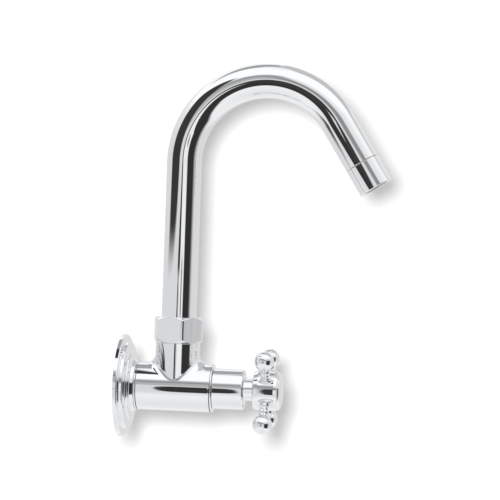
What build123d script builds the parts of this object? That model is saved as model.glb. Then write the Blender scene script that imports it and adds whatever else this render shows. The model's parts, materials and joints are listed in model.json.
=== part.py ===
from build123d import *
from math import cos
from math import radians
from math import sin
from math import sqrt
from math import tan
import os

# A wall tap: stepped flange, tee casting with a screw-down headwork and a cross handle on its
# outer end, and a gooseneck spout that swivels under a union nut. Millimetres.
# The wall is the plane X = 0, the barrel runs out of it along +X, and the spout rises along +Z.

# Clearances between mating pieces
running_clearance = 0.05    # radial, shafts and pistons that turn or slide
thread_clearance = 0.12     # radial, between crests and roots of mated threads
seal_clearance = 0.03       # between a ring seal and what it seals against
braze_clearance = 0.03      # radial, brazed joints in the tube ends
seating_clearance = 0.05    # between flat faces that slide on each other
assembly_clearance = 0.15   # radial, pieces that only pass through each other

# Pipe and fitting threads, as ring grooves of the true crest, root and pitch
inlet_thread_diameter = 20.955      # G1/2
union_thread_diameter = 26.441      # G3/4
pipe_thread_pitch = 1.814
pipe_thread_depth = 1.162
headwork_thread_diameter = 20.0     # M20 x 1.5
headwork_thread_pitch = 1.5
headwork_thread_depth = 0.92
fine_thread_pitch = 1.0
fine_thread_depth = 0.6
thread_flank_share = 3 / 8     # share of the pitch that each flank takes
thread_crest_share = 1 / 8     # share of the pitch that the crest takes

# Wall flange, pressed from sheet: rim, step, crown and neck
flange_wall = 0.9
flange_rim_diameter = 64.0
flange_rim_height = 2.8
flange_step_diameter = 54.8
flange_step_height = 5.4
flange_crown_diameter = 41.6
flange_crown_height = 6.9
flange_neck_diameter = 31.6
flange_depth = 9.8

# Tee casting
inlet_reach = 4.0           # thread behind the wall plane
inlet_thread_turns = 7
inlet_bore = 14.0
barrel_diameter = 30.0
barrel_edge_rounding = 0.4
outlet_offset = 25.2        # flange front to outlet axis
barrel_overhang = 23.4      # outlet axis to barrel end
chamber_diameter = 20.0
seat_bore = 12.0
seat_lip_width = 1.4
seat_lip_height = 0.8
seat_offset = 8.0           # seat face before the outlet axis
seat_wall = 3.0             # wall that carries the seat
boss_diameter = 28.0
boss_height = 28.0          # barrel axis to the shoulder under the nut
boss_rounding = 6.0         # blend between boss and barrel
union_thread_turns = 5
union_relief = 0.5          # plain land at each end of the union thread
outlet_bore = 14.0
tail_socket_diameter = 18.0
tail_socket_depth = 19.5

# Headwork
gasket_thickness = 0.8
collar_recess_depth = 2.3
collar_recess_wall = 3.1
headwork_thread_turns = 6
headwork_relief = 0.5
bush_lead = 1.0             # plain end before the bush's thread
bush_hex_across_flats = 17.0
bush_hex_length = 6.0
sleeve_thread_diameter = 20.0
sleeve_thread_turns = 5
bush_neck_diameter = 13.4
bush_neck_entry = 2.1       # neck inside the handle hub
bush_cone_length = 1.6
bonnet_diameter = 25.2
bonnet_length = 19.9
bonnet_skirt_wall = 1.2
bonnet_end_wall = 1.8
bonnet_end_chamfer = 0.7
bonnet_seam = 0.1

# Spindle
spindle_diameter = 9.9
spindle_collar_diameter = 12.2
spindle_collar_thickness = 1.4
spindle_collar_inset = 0.9  # shoulder beyond the barrel end
spindle_screw_diameter = 9.0
spindle_screw_pitch = 2.0
spindle_screw_depth = 0.9
spindle_ring_section = 1.6
spindle_ring_spacing = 5.0
spline_diameter = 8.0
spline_teeth = 20
spline_depth = 0.4
circlip_thickness = 0.8
circlip_diameter = 13.2
circlip_groove_diameter = 8.4
circlip_opening = 2.6
circlip_land = 1.2

# Valve piston
valve_lift = 5.0
seat_gap = 0.2              # washer to seat when shut
washer_diameter = 16.4
washer_thickness = 3.5
plunger_disc_diameter = 17.2
plunger_disc_thickness = 2.5
plunger_across_flats = 12.6
plunger_bore_floor = 1.6
plunger_top_gap = 0.7
washer_screw_diameter = 4.0
washer_screw_head_diameter = 7.0
washer_screw_head_height = 1.8
washer_screw_reach = 3.0    # thread inside the piston
screw_slot_width = 1.0
screw_slot_depth = 0.8

# Cross handle
handle_gap = 5.5            # neck that shows between sleeve and hub
hub_diameter = 25.2
hub_length = 15.4
hub_shoulder = 3.2          # length of the hub's tapered shoulder
hub_shoulder_drop = 1.1
hub_neck_bore = 14.2
hub_web_start = 4.6
hub_web_end = 11.7
cap_thickness = 3.0
cap_rounding = 4.5
cap_edge_drop = 1.9         # hub's side to the corner that the cap's rounding replaces
rim_taper = 0.35            # how far the hub's side closes in on the groove
rim_taper_length = 2.0
cap_dome_radius = 85.0
cap_spigot_diameter = 19.2
cap_spigot_wall = 1.2
cap_spigot_length = 2.0
cap_skin = 1.6
groove_chamfer = 0.35       # each side of the groove between hub and cap
handle_screw_diameter = 5.0
handle_screw_length = 11.0
handle_screw_head_diameter = 8.8
handle_screw_head_height = 2.4
arm_count = 4
arm_first_angle = 45.0
arm_plane = 7.9             # behind the hub's inner end
arm_seat_radius = 12.2
arm_tenon_diameter = 4.0
arm_tenon_length = 5.6
arm_base_diameter = 6.1
arm_base_length = 1.7
arm_waist_diameter = 4.7
arm_bead_diameter = 5.7
arm_bead_length = 0.9
arm_bead_offset = 3.2       # seat to the bead
arm_collar_diameter = 7.8
arm_collar_length = 1.3
arm_collar_offset = 6.1     # seat to the collar
arm_neck_diameter = 6.0
ball_diameter = 12.2
ball_centre_radius = 27.3

# Union nut and swivel joint
nut_across_flats = 29.0
nut_height = 15.6
nut_gap = 0.4               # above the boss shoulder
nut_corner_chamfer = 1.1
nut_turn = -13.9            # where the first corner of the tightened nut stands, in degrees
bearing_ring_thickness = 0.8
bearing_sleeve_wall = 0.5
bearing_sleeve_drop = 0.4   # sleeve end below the nut's top
bearing_split = 1.0
tail_collar_diameter = 25.8
tail_collar_thickness = 1.6
tail_bore = 12.0
tail_plug_length = 6.5
tail_end_gap = 1.0
tail_ring_section = 1.9
tail_ring_spacing = 6.0
ring_groove_slack = 0.5     # groove wider than the ring in it

# Spout
tube_diameter = 22.0
tube_wall = 1.0
stem_length = 101.7         # tail collar to the start of the bend
bend_radius = 52.0
bend_angle = 148.2
leg_length = 30.0           # bend to the aerator seam
nozzle_seam = 0.15
nozzle_length = 17.65
nozzle_end_chamfer = 0.5
nozzle_lip_height = 1.5
nozzle_mouth = 16.8
nipple_plug_length = 8.0
nipple_bore = 15.0
nozzle_thread_diameter = 20.0
nozzle_thread_turns = 7
aerator_gasket_thickness = 1.5
aerator_gasket_width = 1.8
insert_diameter = 18.4
insert_plate_thickness = 1.2
insert_wall = 0.9
insert_hole_diameter = 1.6
insert_circle_spacing = 2.9     # between the centre hole and each circle of holes
insert_circle_holes = (6, 12)   # holes on each circle, from the centre
screen_thickness = 0.3
screen_spacing = 0.1
screen_count = 2
screen_pitch = 1.8
screen_wire = 0.5

# Places along the barrel axis, from the wall
outlet_x = flange_depth + outlet_offset
barrel_end = outlet_x + barrel_overhang
seat_x = outlet_x - seat_offset
collar_recess_x = barrel_end - collar_recess_depth
headwork_thread_length = headwork_thread_turns * headwork_thread_pitch
headwork_thread_x = collar_recess_x - headwork_relief - headwork_thread_length
bush_start = headwork_thread_x - bush_lead
bush_hex_end = barrel_end + bush_hex_length
sleeve_thread_end = bush_hex_end + sleeve_thread_turns * fine_thread_pitch
bonnet_end = barrel_end + bonnet_length
hub_start = bonnet_end + handle_gap
hub_end = hub_start + hub_length
bush_end = hub_start + bush_neck_entry
arm_x = hub_start + arm_plane
web_start_x = hub_start + hub_web_start
web_end_x = hub_start + hub_web_end
spindle_shoulder_x = barrel_end + spindle_collar_inset
spindle_collar_x = spindle_shoulder_x - seating_clearance - spindle_collar_thickness
spindle_end = web_end_x - 0.5
circlip_x = bush_end + seating_clearance
washer_x = seat_x + seat_gap
plunger_x = washer_x + washer_thickness
plunger_stem_x = plunger_x + plunger_disc_thickness
plunger_end = spindle_collar_x - valve_lift - plunger_top_gap
plunger_bore_x = plunger_x + washer_screw_reach + plunger_bore_floor
spindle_start = plunger_bore_x + valve_lift + plunger_top_gap

# Places along the outlet axis, from the barrel axis
union_thread_z = boss_height + union_relief
union_thread_length = union_thread_turns * pipe_thread_pitch
boss_top = union_thread_z + union_thread_length + union_relief
nut_bottom = boss_height + nut_gap
nut_top = nut_bottom + nut_height
tail_socket_floor = boss_top - tail_socket_depth
tail_bottom = tail_socket_floor + tail_end_gap
tail_collar_z = boss_top + bearing_ring_thickness + seating_clearance
tail_collar_top = tail_collar_z + tail_collar_thickness
bearing_z = tail_collar_top + seating_clearance
nut_lip_z = bearing_z + bearing_ring_thickness
bend_z = tail_collar_top + stem_length

# Radii that several pieces share
tube_radius = tube_diameter / 2
tube_bore_radius = tube_radius - tube_wall
tail_socket_radius = tail_socket_diameter / 2
inlet_crest = inlet_thread_diameter / 2
union_crest = union_thread_diameter / 2
headwork_crest = headwork_thread_diameter / 2
sleeve_crest = sleeve_thread_diameter / 2
nozzle_crest = nozzle_thread_diameter / 2
stack_radius = tail_collar_diameter / 2
bush_bore_radius = spindle_diameter / 2 + running_clearance
collar_recess_radius = barrel_diameter / 2 - collar_recess_wall
neck_radius = bush_neck_diameter / 2
hub_radius = hub_diameter / 2
rim_radius = hub_radius - rim_taper

# Frames whose Z runs along each turning axis
barrel_frame = Plane(origin=(0, 0, 0), x_dir=(0, 1, 0), z_dir=(1, 0, 0))
outlet_frame = Plane(origin=(outlet_x, 0, 0), x_dir=(1, 0, 0), z_dir=(0, 0, 1))
bend_centre = Vector(outlet_x + bend_radius, 0, bend_z)
leg_direction = Vector(sin(radians(bend_angle)), 0, cos(radians(bend_angle)))
bend_end = bend_centre + bend_radius * Vector(-cos(radians(bend_angle)), 0, sin(radians(bend_angle)))
leg_frame = Plane(origin=bend_end, x_dir=(0, 1, 0), z_dir=leg_direction)


def turned(corners):
    """Spin a closed outline of (along, radius, rounding) corners about Z, with arcs at rounded corners."""
    points = [Vector(radius, 0, along) for along, radius, _ in corners]
    pieces = []
    for index, (_, _, rounding) in enumerate(corners):
        point = points[index]
        to_last = points[index - 1] - point
        to_next = points[(index + 1) % len(points)] - point
        if rounding == 0:
            pieces.append((point, point, point))
            continue
        half = radians(to_last.get_angle(to_next)) / 2
        last_share = 0.48 if corners[index - 1][2] else 0.98
        next_share = 0.48 if corners[(index + 1) % len(corners)][2] else 0.98
        reach = min(rounding / tan(half), last_share * to_last.length, next_share * to_next.length)
        radius = reach * tan(half)
        start = point + to_last.normalized() * reach
        end = point + to_next.normalized() * reach
        inward = (to_last.normalized() + to_next.normalized()).normalized()
        middle = point + inward * (radius / sin(half) - radius)
        pieces.append((start, middle, end))
    edges = []
    for index, (start, middle, end) in enumerate(pieces):
        if (end - start).length > 0:
            edges.append(Edge.make_three_point_arc(start, middle, end))
        following = pieces[(index + 1) % len(pieces)][0]
        if (following - end).length > 1e-6:
            edges.append(Edge.make_line(end, following))
    return revolve(Face(Wire(edges)), Axis.Z)


def ring(start, end, inner, outer, rounding=0.0):
    """A plain turned ring or, with inner 0, a plain rod."""
    return turned([
        (start, inner, 0),
        (start, outer, rounding),
        (end, outer, rounding),
        (end, inner, 0),
    ])


def thread_corners(start, turns, pitch, crest, depth):
    """Outline corners of a thread drawn as equal rings, from start onward."""
    corners = []
    for turn in range(turns):
        foot = start + turn * pitch
        corners.append((foot, crest - depth, 0))
        flank_top = foot + pitch * thread_flank_share
        crest_end = flank_top + pitch * thread_crest_share
        corners.append((flank_top, crest, 0))
        corners.append((crest_end, crest, 0))
        corners.append((crest_end + pitch * thread_flank_share, crest - depth, 0))
    return corners


def seal_ring(centre, section, outer):
    """A ring of round section about Z, whose outside has the given radius."""
    circle = Plane(origin=(outer - section / 2, 0, centre), z_dir=(0, 1, 0)) * Circle(section / 2)
    return revolve(circle, Axis.Z)


def groove_corners(centre, section, outer, shaft):
    """Outline corners of the groove that holds such a ring on a shaft."""
    half = (section + ring_groove_slack) / 2
    floor = outer - section - seal_clearance
    return [
        (centre - half, shaft, 0),
        (centre - half, floor, 0),
        (centre + half, floor, 0),
        (centre + half, shaft, 0),
    ]


def hexagon_corner(across_flats):
    """Centre to corner of a hexagon."""
    return across_flats / 2 / cos(radians(180 / 6))


def hexagon(start, end, across_flats, turn=0.0):
    """A hexagonal bar along Z, its first corner at the given angle."""
    corner = hexagon_corner(across_flats)
    points = []
    for index in range(6):
        angle = radians(turn + 60 * index)
        points.append((corner * cos(angle), corner * sin(angle)))
    face = make_face(Polyline(*points, close=True))
    return Pos(0, 0, start) * extrude(face, end - start)


def spline_bar(start, end, radius):
    """A bar along Z with straight serrations."""
    points = []
    for index in range(2 * spline_teeth):
        angle = radians(180 * index / spline_teeth)
        reach = radius - spline_depth * (index % 2)
        points.append((reach * cos(angle), reach * sin(angle)))
    face = make_face(Polyline(*points, close=True))
    return Pos(0, 0, start) * extrude(face, end - start)


def slot(start, end, length):
    """A screwdriver slot between two heights on Z."""
    return Pos(0, 0, (start + end) / 2) * Box(length, screw_slot_width, end - start)


def wall_flange():
    steps = [
        (flange_rim_height, flange_rim_diameter / 2, 1.1),
        (flange_rim_height + 0.3, flange_step_diameter / 2 + 0.4, 0.4),
        (flange_step_height, flange_step_diameter / 2, 1.2),
        (flange_step_height + 0.5, flange_crown_diameter / 2 + 0.4, 0.4),
        (flange_crown_height, flange_crown_diameter / 2, 0.8),
        (flange_crown_height + 0.5, flange_neck_diameter / 2 + 0.9, 0.8),
        (flange_depth, flange_neck_diameter / 2, 0.6),
    ]
    hole = inlet_crest + 0.3
    outside = [(0, flange_rim_diameter / 2, 0)] + steps + [(flange_depth, hole, 0)]
    inside = [(along - flange_wall, radius - flange_wall, rounding) for along, radius, rounding in steps]
    lining = [(0, flange_rim_diameter / 2 - flange_wall, 0)] + inside + [(flange_depth - flange_wall, hole, 0)]
    return barrel_frame * turned(outside + lining[::-1])


def body_casting():
    inlet_root = inlet_crest - pipe_thread_depth
    thread_end = inlet_thread_turns * pipe_thread_pitch - inlet_reach
    barrel_radius = barrel_diameter / 2
    outside = [(-inlet_reach, 0, 0)]
    outside += thread_corners(-inlet_reach, inlet_thread_turns, pipe_thread_pitch, inlet_crest, pipe_thread_depth)
    outside += [
        (thread_end, inlet_root, 0),
        (flange_depth, inlet_root, 0),
        (flange_depth, barrel_radius, 0.4),
        (barrel_end, barrel_radius, barrel_edge_rounding),
        (barrel_end, 0, 0),
    ]
    barrel = barrel_frame * turned(outside)

    union_root = union_crest - pipe_thread_depth
    boss_outside = [(0, 0, 0), (0, boss_diameter / 2, 0), (boss_height, boss_diameter / 2, 0.4)]
    boss_outside += [(boss_height, union_root, 0)]
    boss_outside += thread_corners(
        union_thread_z, union_thread_turns, pipe_thread_pitch, union_crest, pipe_thread_depth
    )
    boss_outside += [(boss_top - union_relief, union_root, 0), (boss_top, union_root, 0.3), (boss_top, 0, 0)]
    boss = outlet_frame * turned(boss_outside)

    blend = new_edges(barrel, boss, combined=barrel + boss)
    casting = fillet(blend, boss_rounding)

    seat_radius = seat_bore / 2
    bore_radius = inlet_bore / 2
    chamber_radius = chamber_diameter / 2
    seat_floor = seat_x - seat_lip_height
    lip_radius = seat_radius + seat_lip_width
    waterway = [
        (-inlet_reach, 0, 0),
        (-inlet_reach, bore_radius + 0.6, 0),
        (-inlet_reach + 0.6, bore_radius, 0),
        (seat_x - seat_wall, bore_radius, 0),
        (seat_x - seat_wall, seat_radius, 0),
        (seat_x, seat_radius, 0),
        (seat_x, lip_radius, 0),
        (seat_floor, lip_radius, 0),
        (seat_floor, chamber_radius, 1.0),
        (headwork_thread_x - headwork_relief, chamber_radius, 0),
    ]
    headwork_root = headwork_crest - headwork_thread_depth + thread_clearance
    waterway += [(headwork_thread_x - headwork_relief, headwork_root, 0)]
    waterway += thread_corners(
        headwork_thread_x,
        headwork_thread_turns,
        headwork_thread_pitch,
        headwork_crest + thread_clearance,
        headwork_thread_depth,
    )
    waterway += [
        (headwork_thread_x + headwork_thread_length, headwork_root, 0),
        (headwork_thread_x + headwork_thread_length, headwork_crest + thread_clearance, 0),
        (collar_recess_x, headwork_crest + thread_clearance, 0),
        (collar_recess_x, collar_recess_radius, 0),
        (barrel_end, collar_recess_radius, 0),
        (barrel_end, 0, 0),
    ]
    casting -= barrel_frame * turned(waterway)
    casting -= outlet_frame * ring(0, tail_socket_floor, 0, outlet_bore / 2)
    casting -= outlet_frame * ring(tail_socket_floor, boss_top, 0, tail_socket_radius)
    return casting


def headwork_gasket():
    inner = headwork_crest + seal_clearance
    outer = collar_recess_radius - seal_clearance
    return barrel_frame * ring(collar_recess_x, collar_recess_x + gasket_thickness, inner, outer)


def headwork_bush():
    root = headwork_crest - headwork_thread_depth
    sleeve_root = sleeve_crest - fine_thread_depth
    collar_x = collar_recess_x + gasket_thickness
    thread_end = headwork_thread_x + headwork_thread_length
    outside = [(bush_start, 0, 0), (bush_start, root, 0.3)]
    outside += thread_corners(
        headwork_thread_x, headwork_thread_turns, headwork_thread_pitch, headwork_crest, headwork_thread_depth
    )
    outside += [
        (thread_end, root, 0),
        (collar_x, root, 0),
        (collar_x, collar_recess_radius - assembly_clearance, 0),
        (barrel_end, collar_recess_radius - assembly_clearance, 0),
        (barrel_end, 0, 0),
    ]
    hexagon_bar = hexagon(barrel_end, bush_hex_end, bush_hex_across_flats)
    above = [(bush_hex_end, 0, 0)]
    above += thread_corners(bush_hex_end, sleeve_thread_turns, fine_thread_pitch, sleeve_crest, fine_thread_depth)
    above += [
        (sleeve_thread_end, sleeve_root, 0),
        (sleeve_thread_end + bush_cone_length, neck_radius, 0.4),
        (bush_end, neck_radius, 0.3),
        (bush_end, 0, 0),
    ]
    socket = hexagon(bush_start, spindle_shoulder_x, plunger_across_flats + 2 * running_clearance)
    bore = ring(spindle_shoulder_x, bush_end, 0, bush_bore_radius)
    return barrel_frame * (turned(outside) + hexagon_bar + turned(above) - socket - bore)


def bonnet_sleeve():
    outer = bonnet_diameter / 2
    skirt = outer - bonnet_skirt_wall
    thread = sleeve_crest + thread_clearance
    root = thread - fine_thread_depth
    cavity_end = bonnet_end - bonnet_end_wall
    start = barrel_end + bonnet_seam
    inside = [(start, skirt, 0), (bush_hex_end, skirt, 0), (bush_hex_end, root, 0)]
    inside += thread_corners(bush_hex_end, sleeve_thread_turns, fine_thread_pitch, thread, fine_thread_depth)[1:]
    inside += [
        (sleeve_thread_end, root, 0),
        (cavity_end, root, 1.0),
        (cavity_end, neck_radius + assembly_clearance, 0),
        (bonnet_end, neck_radius + assembly_clearance, 0),
    ]
    outside = [
        (bonnet_end, outer - bonnet_end_chamfer - 0.6, 0.5),
        (bonnet_end - bonnet_end_chamfer, outer, 1.2),
        (start, outer, 0.4),
    ]
    return barrel_frame * turned(inside + outside)


def swivel_nut():
    crest = union_crest + thread_clearance
    half_flats = nut_across_flats / 2
    corner = hexagon_corner(nut_across_flats)
    envelope = turned([
        (nut_bottom, 0, 0),
        (nut_bottom, half_flats, 0),
        (nut_bottom + nut_corner_chamfer, corner, 0),
        (nut_top - nut_corner_chamfer, corner, 0),
        (nut_top, half_flats, 0),
        (nut_top, 0, 0),
    ])
    root = crest - pipe_thread_depth
    thread_end = union_thread_z + union_thread_length
    lip_hole = tube_radius + running_clearance + bearing_sleeve_wall + assembly_clearance
    inside = [(nut_bottom, 0, 0), (nut_bottom, crest, 0), (union_thread_z, root, 0)]
    inside += thread_corners(union_thread_z, union_thread_turns, pipe_thread_pitch, crest, pipe_thread_depth)[1:]
    inside += [
        (thread_end, root, 0),
        (thread_end, crest, 0),
        (nut_lip_z, crest, 0.3),
        (nut_lip_z, lip_hole, 0),
        (nut_top - 0.3, lip_hole, 0),
        (nut_top, lip_hole + 0.3, 0),
        (nut_top, 0, 0),
    ]
    bar = hexagon(nut_bottom, nut_top, nut_across_flats, nut_turn)
    return outlet_frame * ((bar & envelope) - turned(inside))


def spout_thrust_washer():
    inner = tail_socket_radius + assembly_clearance
    return outlet_frame * ring(boss_top, boss_top + bearing_ring_thickness, inner, stack_radius)


def spout_bearing_ring():
    inner = tube_radius + running_clearance
    outline = [
        (bearing_z, inner, 0),
        (bearing_z, stack_radius, 0),
        (nut_lip_z, stack_radius, 0),
        (nut_lip_z, inner + bearing_sleeve_wall, 0),
        (nut_top - bearing_sleeve_drop, inner + bearing_sleeve_wall, 0),
        (nut_top - bearing_sleeve_drop, inner, 0),
    ]
    split = Pos(-stack_radius / 2, 0, nut_top / 2) * Box(stack_radius, bearing_split, nut_top)
    split = Pos(-tube_radius / 2, 0, 0) * split
    return outlet_frame * (turned(outline) - split)


def spout_tail():
    plug = tube_bore_radius - braze_clearance
    shank = tail_socket_radius - running_clearance
    seal = tail_socket_radius - seal_clearance
    outline = [(tail_bottom, tail_bore / 2, 0), (tail_bottom, shank, 0.5)]
    for centre in tail_ring_centres():
        outline += groove_corners(centre, tail_ring_section, seal, shank)
    outline += [
        (tail_collar_z, shank, 0),
        (tail_collar_z, stack_radius, 0.3),
        (tail_collar_top, stack_radius, 0.3),
        (tail_collar_top, plug, 0),
        (tail_collar_top + tail_plug_length, plug, 0.4),
        (tail_collar_top + tail_plug_length, tail_bore / 2, 0),
    ]
    return outlet_frame * turned(outline)


def tail_ring_centres():
    middle = (tail_bottom + boss_top) / 2
    return (middle - tail_ring_spacing / 2, middle + tail_ring_spacing / 2)


def spout_o_rings():
    outer = tail_socket_radius - seal_clearance
    return [outlet_frame * seal_ring(centre, tail_ring_section, outer) for centre in tail_ring_centres()]


def spout_tube():
    section = Circle(tube_radius) - Circle(tube_bore_radius)
    stem = outlet_frame * Pos(0, 0, tail_collar_top) * extrude(section, stem_length)
    bend_axis = Axis(bend_centre, (0, 1, 0))
    bend = revolve(outlet_frame * Pos(0, 0, bend_z) * section, bend_axis, bend_angle)
    leg = leg_frame * extrude(section, leg_length)
    return stem + bend + leg


def outlet_nipple():
    plug = tube_bore_radius - braze_clearance
    root = nozzle_crest - fine_thread_depth
    thread_start = leg_length + nozzle_seam
    thread_end = thread_start + nozzle_thread_turns * fine_thread_pitch
    outline = [
        (leg_length - nipple_plug_length, nipple_bore / 2, 0),
        (leg_length - nipple_plug_length, plug, 0.4),
        (leg_length, plug, 0),
        (leg_length, root, 0),
    ]
    outline += thread_corners(
        thread_start, nozzle_thread_turns, fine_thread_pitch, nozzle_crest, fine_thread_depth
    )
    outline += [(thread_end, root, 0), (nipple_end(), root, 0.2), (nipple_end(), nipple_bore / 2, 0)]
    return leg_frame * turned(outline)


def nipple_end():
    return leg_length + nozzle_seam + nozzle_thread_turns * fine_thread_pitch + 0.6


def nozzle_lip():
    return leg_length + nozzle_seam + nozzle_length - nozzle_lip_height


def aerator_housing():
    start = leg_length + nozzle_seam
    end = start + nozzle_length
    thread = nozzle_crest + thread_clearance
    root = thread - fine_thread_depth
    thread_end = start + nozzle_thread_turns * fine_thread_pitch
    outline = [(start, root, 0)]
    outline += thread_corners(start, nozzle_thread_turns, fine_thread_pitch, thread, fine_thread_depth)[1:]
    outline += [
        (thread_end, root, 0),
        (nozzle_lip(), root, 0),
        (nozzle_lip(), nozzle_mouth / 2, 0),
        (end, nozzle_mouth / 2, 0.3),
        (end, tube_radius, nozzle_end_chamfer),
        (start, tube_radius, 0.2),
    ]
    return leg_frame * turned(outline)


def aerator_gasket():
    outer = insert_diameter / 2
    start = nipple_end()
    return leg_frame * ring(start, start + aerator_gasket_thickness, outer - aerator_gasket_width, outer)


def screens_start():
    return nozzle_lip() - screen_count * (screen_thickness + screen_spacing)


def aerator_insert():
    start = nipple_end() + aerator_gasket_thickness
    outer = insert_diameter / 2
    plate_end = start + insert_plate_thickness
    cup = turned([
        (start, 0, 0),
        (start, outer, 0.2),
        (screens_start(), outer, 0),
        (screens_start(), outer - insert_wall, 0),
        (plate_end, outer - insert_wall, 0.3),
        (plate_end, 0, 0),
    ])
    hole = ring(start, plate_end, 0, insert_hole_diameter / 2)
    cup -= hole
    for circle, count in enumerate(insert_circle_holes, start=1):
        for index in range(count):
            cup -= Rot(0, 0, 360 * index / count) * Pos(circle * insert_circle_spacing, 0, 0) * hole
    return leg_frame * cup


def aerator_screens():
    """Two discs pierced by a grid of square openings, the second turned by half a right angle."""
    outer = insert_diameter / 2
    reach = int(outer / screen_pitch)
    opening = screen_pitch - screen_wire
    openings = []
    for column in range(-reach, reach + 1):
        for row in range(-reach, reach + 1):
            if sqrt(column**2 + row**2) * screen_pitch + opening < outer:
                place = Location((column * screen_pitch, row * screen_pitch, screen_thickness / 2))
                openings.append(place * Box(opening, opening, screen_thickness))
    disc = ring(0, screen_thickness, 0, outer) - openings
    discs = []
    for index in range(screen_count):
        height = screens_start() + screen_spacing + index * (screen_thickness + screen_spacing)
        discs.append(leg_frame * Pos(0, 0, height) * Rot(0, 0, 45 * index) * disc)
    return discs


def spindle_ring_centres():
    middle = (sleeve_thread_end + bush_hex_end) / 2
    return (middle - spindle_ring_spacing / 2, middle + spindle_ring_spacing / 2)


def spindle():
    shaft = spindle_diameter / 2
    screw = spindle_screw_diameter / 2
    collar = spindle_collar_diameter / 2
    seal = bush_bore_radius - seal_clearance
    collar_end = spindle_collar_x + spindle_collar_thickness
    turns = int((spindle_collar_x - spindle_start - 0.5) / spindle_screw_pitch)
    outline = [(spindle_start, 0, 0)]
    outline += thread_corners(spindle_start, turns, spindle_screw_pitch, screw, spindle_screw_depth)
    outline += [
        (spindle_start + turns * spindle_screw_pitch, screw - spindle_screw_depth, 0),
        (spindle_collar_x, screw - spindle_screw_depth, 0),
        (spindle_collar_x, collar, 0.2),
        (collar_end, collar, 0.2),
        (collar_end, shaft, 0),
    ]
    for centre in spindle_ring_centres():
        outline += groove_corners(centre, spindle_ring_section, seal, shaft)
    groove_end = circlip_x + circlip_thickness + seating_clearance
    outline += [
        (circlip_x, shaft, 0),
        (circlip_x, circlip_groove_diameter / 2, 0),
        (groove_end, circlip_groove_diameter / 2, 0),
        (groove_end, shaft, 0),
        (groove_end + circlip_land, shaft, 0.3),
        (groove_end + circlip_land, 0, 0),
    ]
    spline = spline_bar(groove_end + circlip_land, spindle_end, spline_diameter / 2)
    tapping = ring(
        web_end_x - handle_screw_length - 1, spindle_end, 0, handle_screw_diameter / 2 + running_clearance
    )
    return barrel_frame * (turned(outline) + spline - tapping)


def spindle_o_rings():
    outer = bush_bore_radius - seal_clearance
    return [barrel_frame * seal_ring(centre, spindle_ring_section, outer) for centre in spindle_ring_centres()]


def spindle_circlip():
    inner = circlip_groove_diameter / 2 + seal_clearance
    outer = circlip_diameter / 2
    clip = ring(circlip_x, circlip_x + circlip_thickness, inner, outer, 0.15)
    opening = Pos(outer, 0, circlip_x) * Box(2 * outer, circlip_opening, 4 * circlip_thickness)
    return barrel_frame * (clip - opening)


def arm_frames():
    frames = []
    for index in range(arm_count):
        angle = radians(arm_first_angle + 360 * index / arm_count)
        direction = (0, cos(angle), sin(angle))
        frames.append(Plane(origin=(arm_x, 0, 0), x_dir=(1, 0, 0), z_dir=direction))
    return frames


def handle_hub():
    recess = cap_spigot_diameter / 2 + running_clearance
    hub = barrel_frame * turned([
        (hub_start, hub_neck_bore / 2, 0.3),
        (hub_start, hub_radius - hub_shoulder_drop, 1.0),
        (hub_start + hub_shoulder, hub_radius, 2.0),
        (hub_end - rim_taper_length, hub_radius, 3.0),
        (hub_end - groove_chamfer, rim_radius, 0),
        (hub_end, rim_radius - groove_chamfer, 0),
        (hub_end, recess, 0),
        (web_end_x, recess, 0),
        (web_end_x, 0, 0),
        (web_start_x, 0, 0),
        (web_start_x, hub_neck_bore / 2, 0.3),
    ])
    socket = spline_bar(web_start_x, web_end_x - 0.4, spline_diameter / 2 + running_clearance)
    screw_hole = ring(web_start_x, web_end_x, 0, handle_screw_diameter / 2 + assembly_clearance)
    hub -= barrel_frame * (socket + screw_hole)
    tenon_hole = ring(
        arm_seat_radius - arm_tenon_length - 0.3, hub_radius, 0, arm_tenon_diameter / 2 + running_clearance
    )
    spot_face = ring(arm_seat_radius, hub_radius + 1, 0, arm_base_diameter / 2 + assembly_clearance)
    for frame in arm_frames():
        hub -= frame * (tenon_hole + spot_face)
    return hub


def handle_arm(frame):
    """One arm, turned in one piece: tenon, base, waist, bead, flared collar, neck and ball."""
    seat = arm_seat_radius
    waist = arm_waist_diameter / 2
    bead = seat + arm_bead_offset
    collar = seat + arm_collar_offset
    neck_end = ball_centre_radius - sqrt(ball_diameter**2 - arm_neck_diameter**2) / 2
    stalk = turned([
        (seat - arm_tenon_length, 0, 0),
        (seat - arm_tenon_length, arm_tenon_diameter / 2, 0.4),
        (seat, arm_tenon_diameter / 2, 0),
        (seat, arm_base_diameter / 2, 0.2),
        (seat + arm_base_length, arm_base_diameter / 2, 0.7),
        (seat + arm_base_length + 0.4, waist, 0.3),
        (bead - 0.2, waist, 0.1),
        (bead, arm_bead_diameter / 2, 0.3),
        (bead + arm_bead_length, arm_bead_diameter / 2, 0.3),
        (bead + arm_bead_length + 0.3, waist + 0.2, 0.3),
        (collar - 0.3, arm_collar_diameter / 2 - 0.4, 1.2),
        (collar, arm_collar_diameter / 2, 0.2),
        (collar + arm_collar_length, arm_collar_diameter / 2, 0.5),
        (collar + arm_collar_length + 0.3, arm_neck_diameter / 2, 0.3),
        (neck_end + 0.3, arm_neck_diameter / 2, 0),
        (neck_end + 0.3, 0, 0),
    ])
    ball = Pos(0, 0, ball_centre_radius) * Sphere(ball_diameter / 2)
    return frame * (stalk + ball)


def handle_screw():
    head_top = web_end_x + handle_screw_head_height
    outline = [
        (web_end_x - handle_screw_length, 0, 0),
        (web_end_x - handle_screw_length, handle_screw_diameter / 2, 0.4),
        (web_end_x, handle_screw_diameter / 2, 0),
        (web_end_x, handle_screw_head_diameter / 2, 0.1),
        (head_top, handle_screw_head_diameter / 2, 0.9),
        (head_top, 0, 0),
    ]
    return barrel_frame * (turned(outline) - slot(head_top - screw_slot_depth, head_top, hub_diameter))


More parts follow.
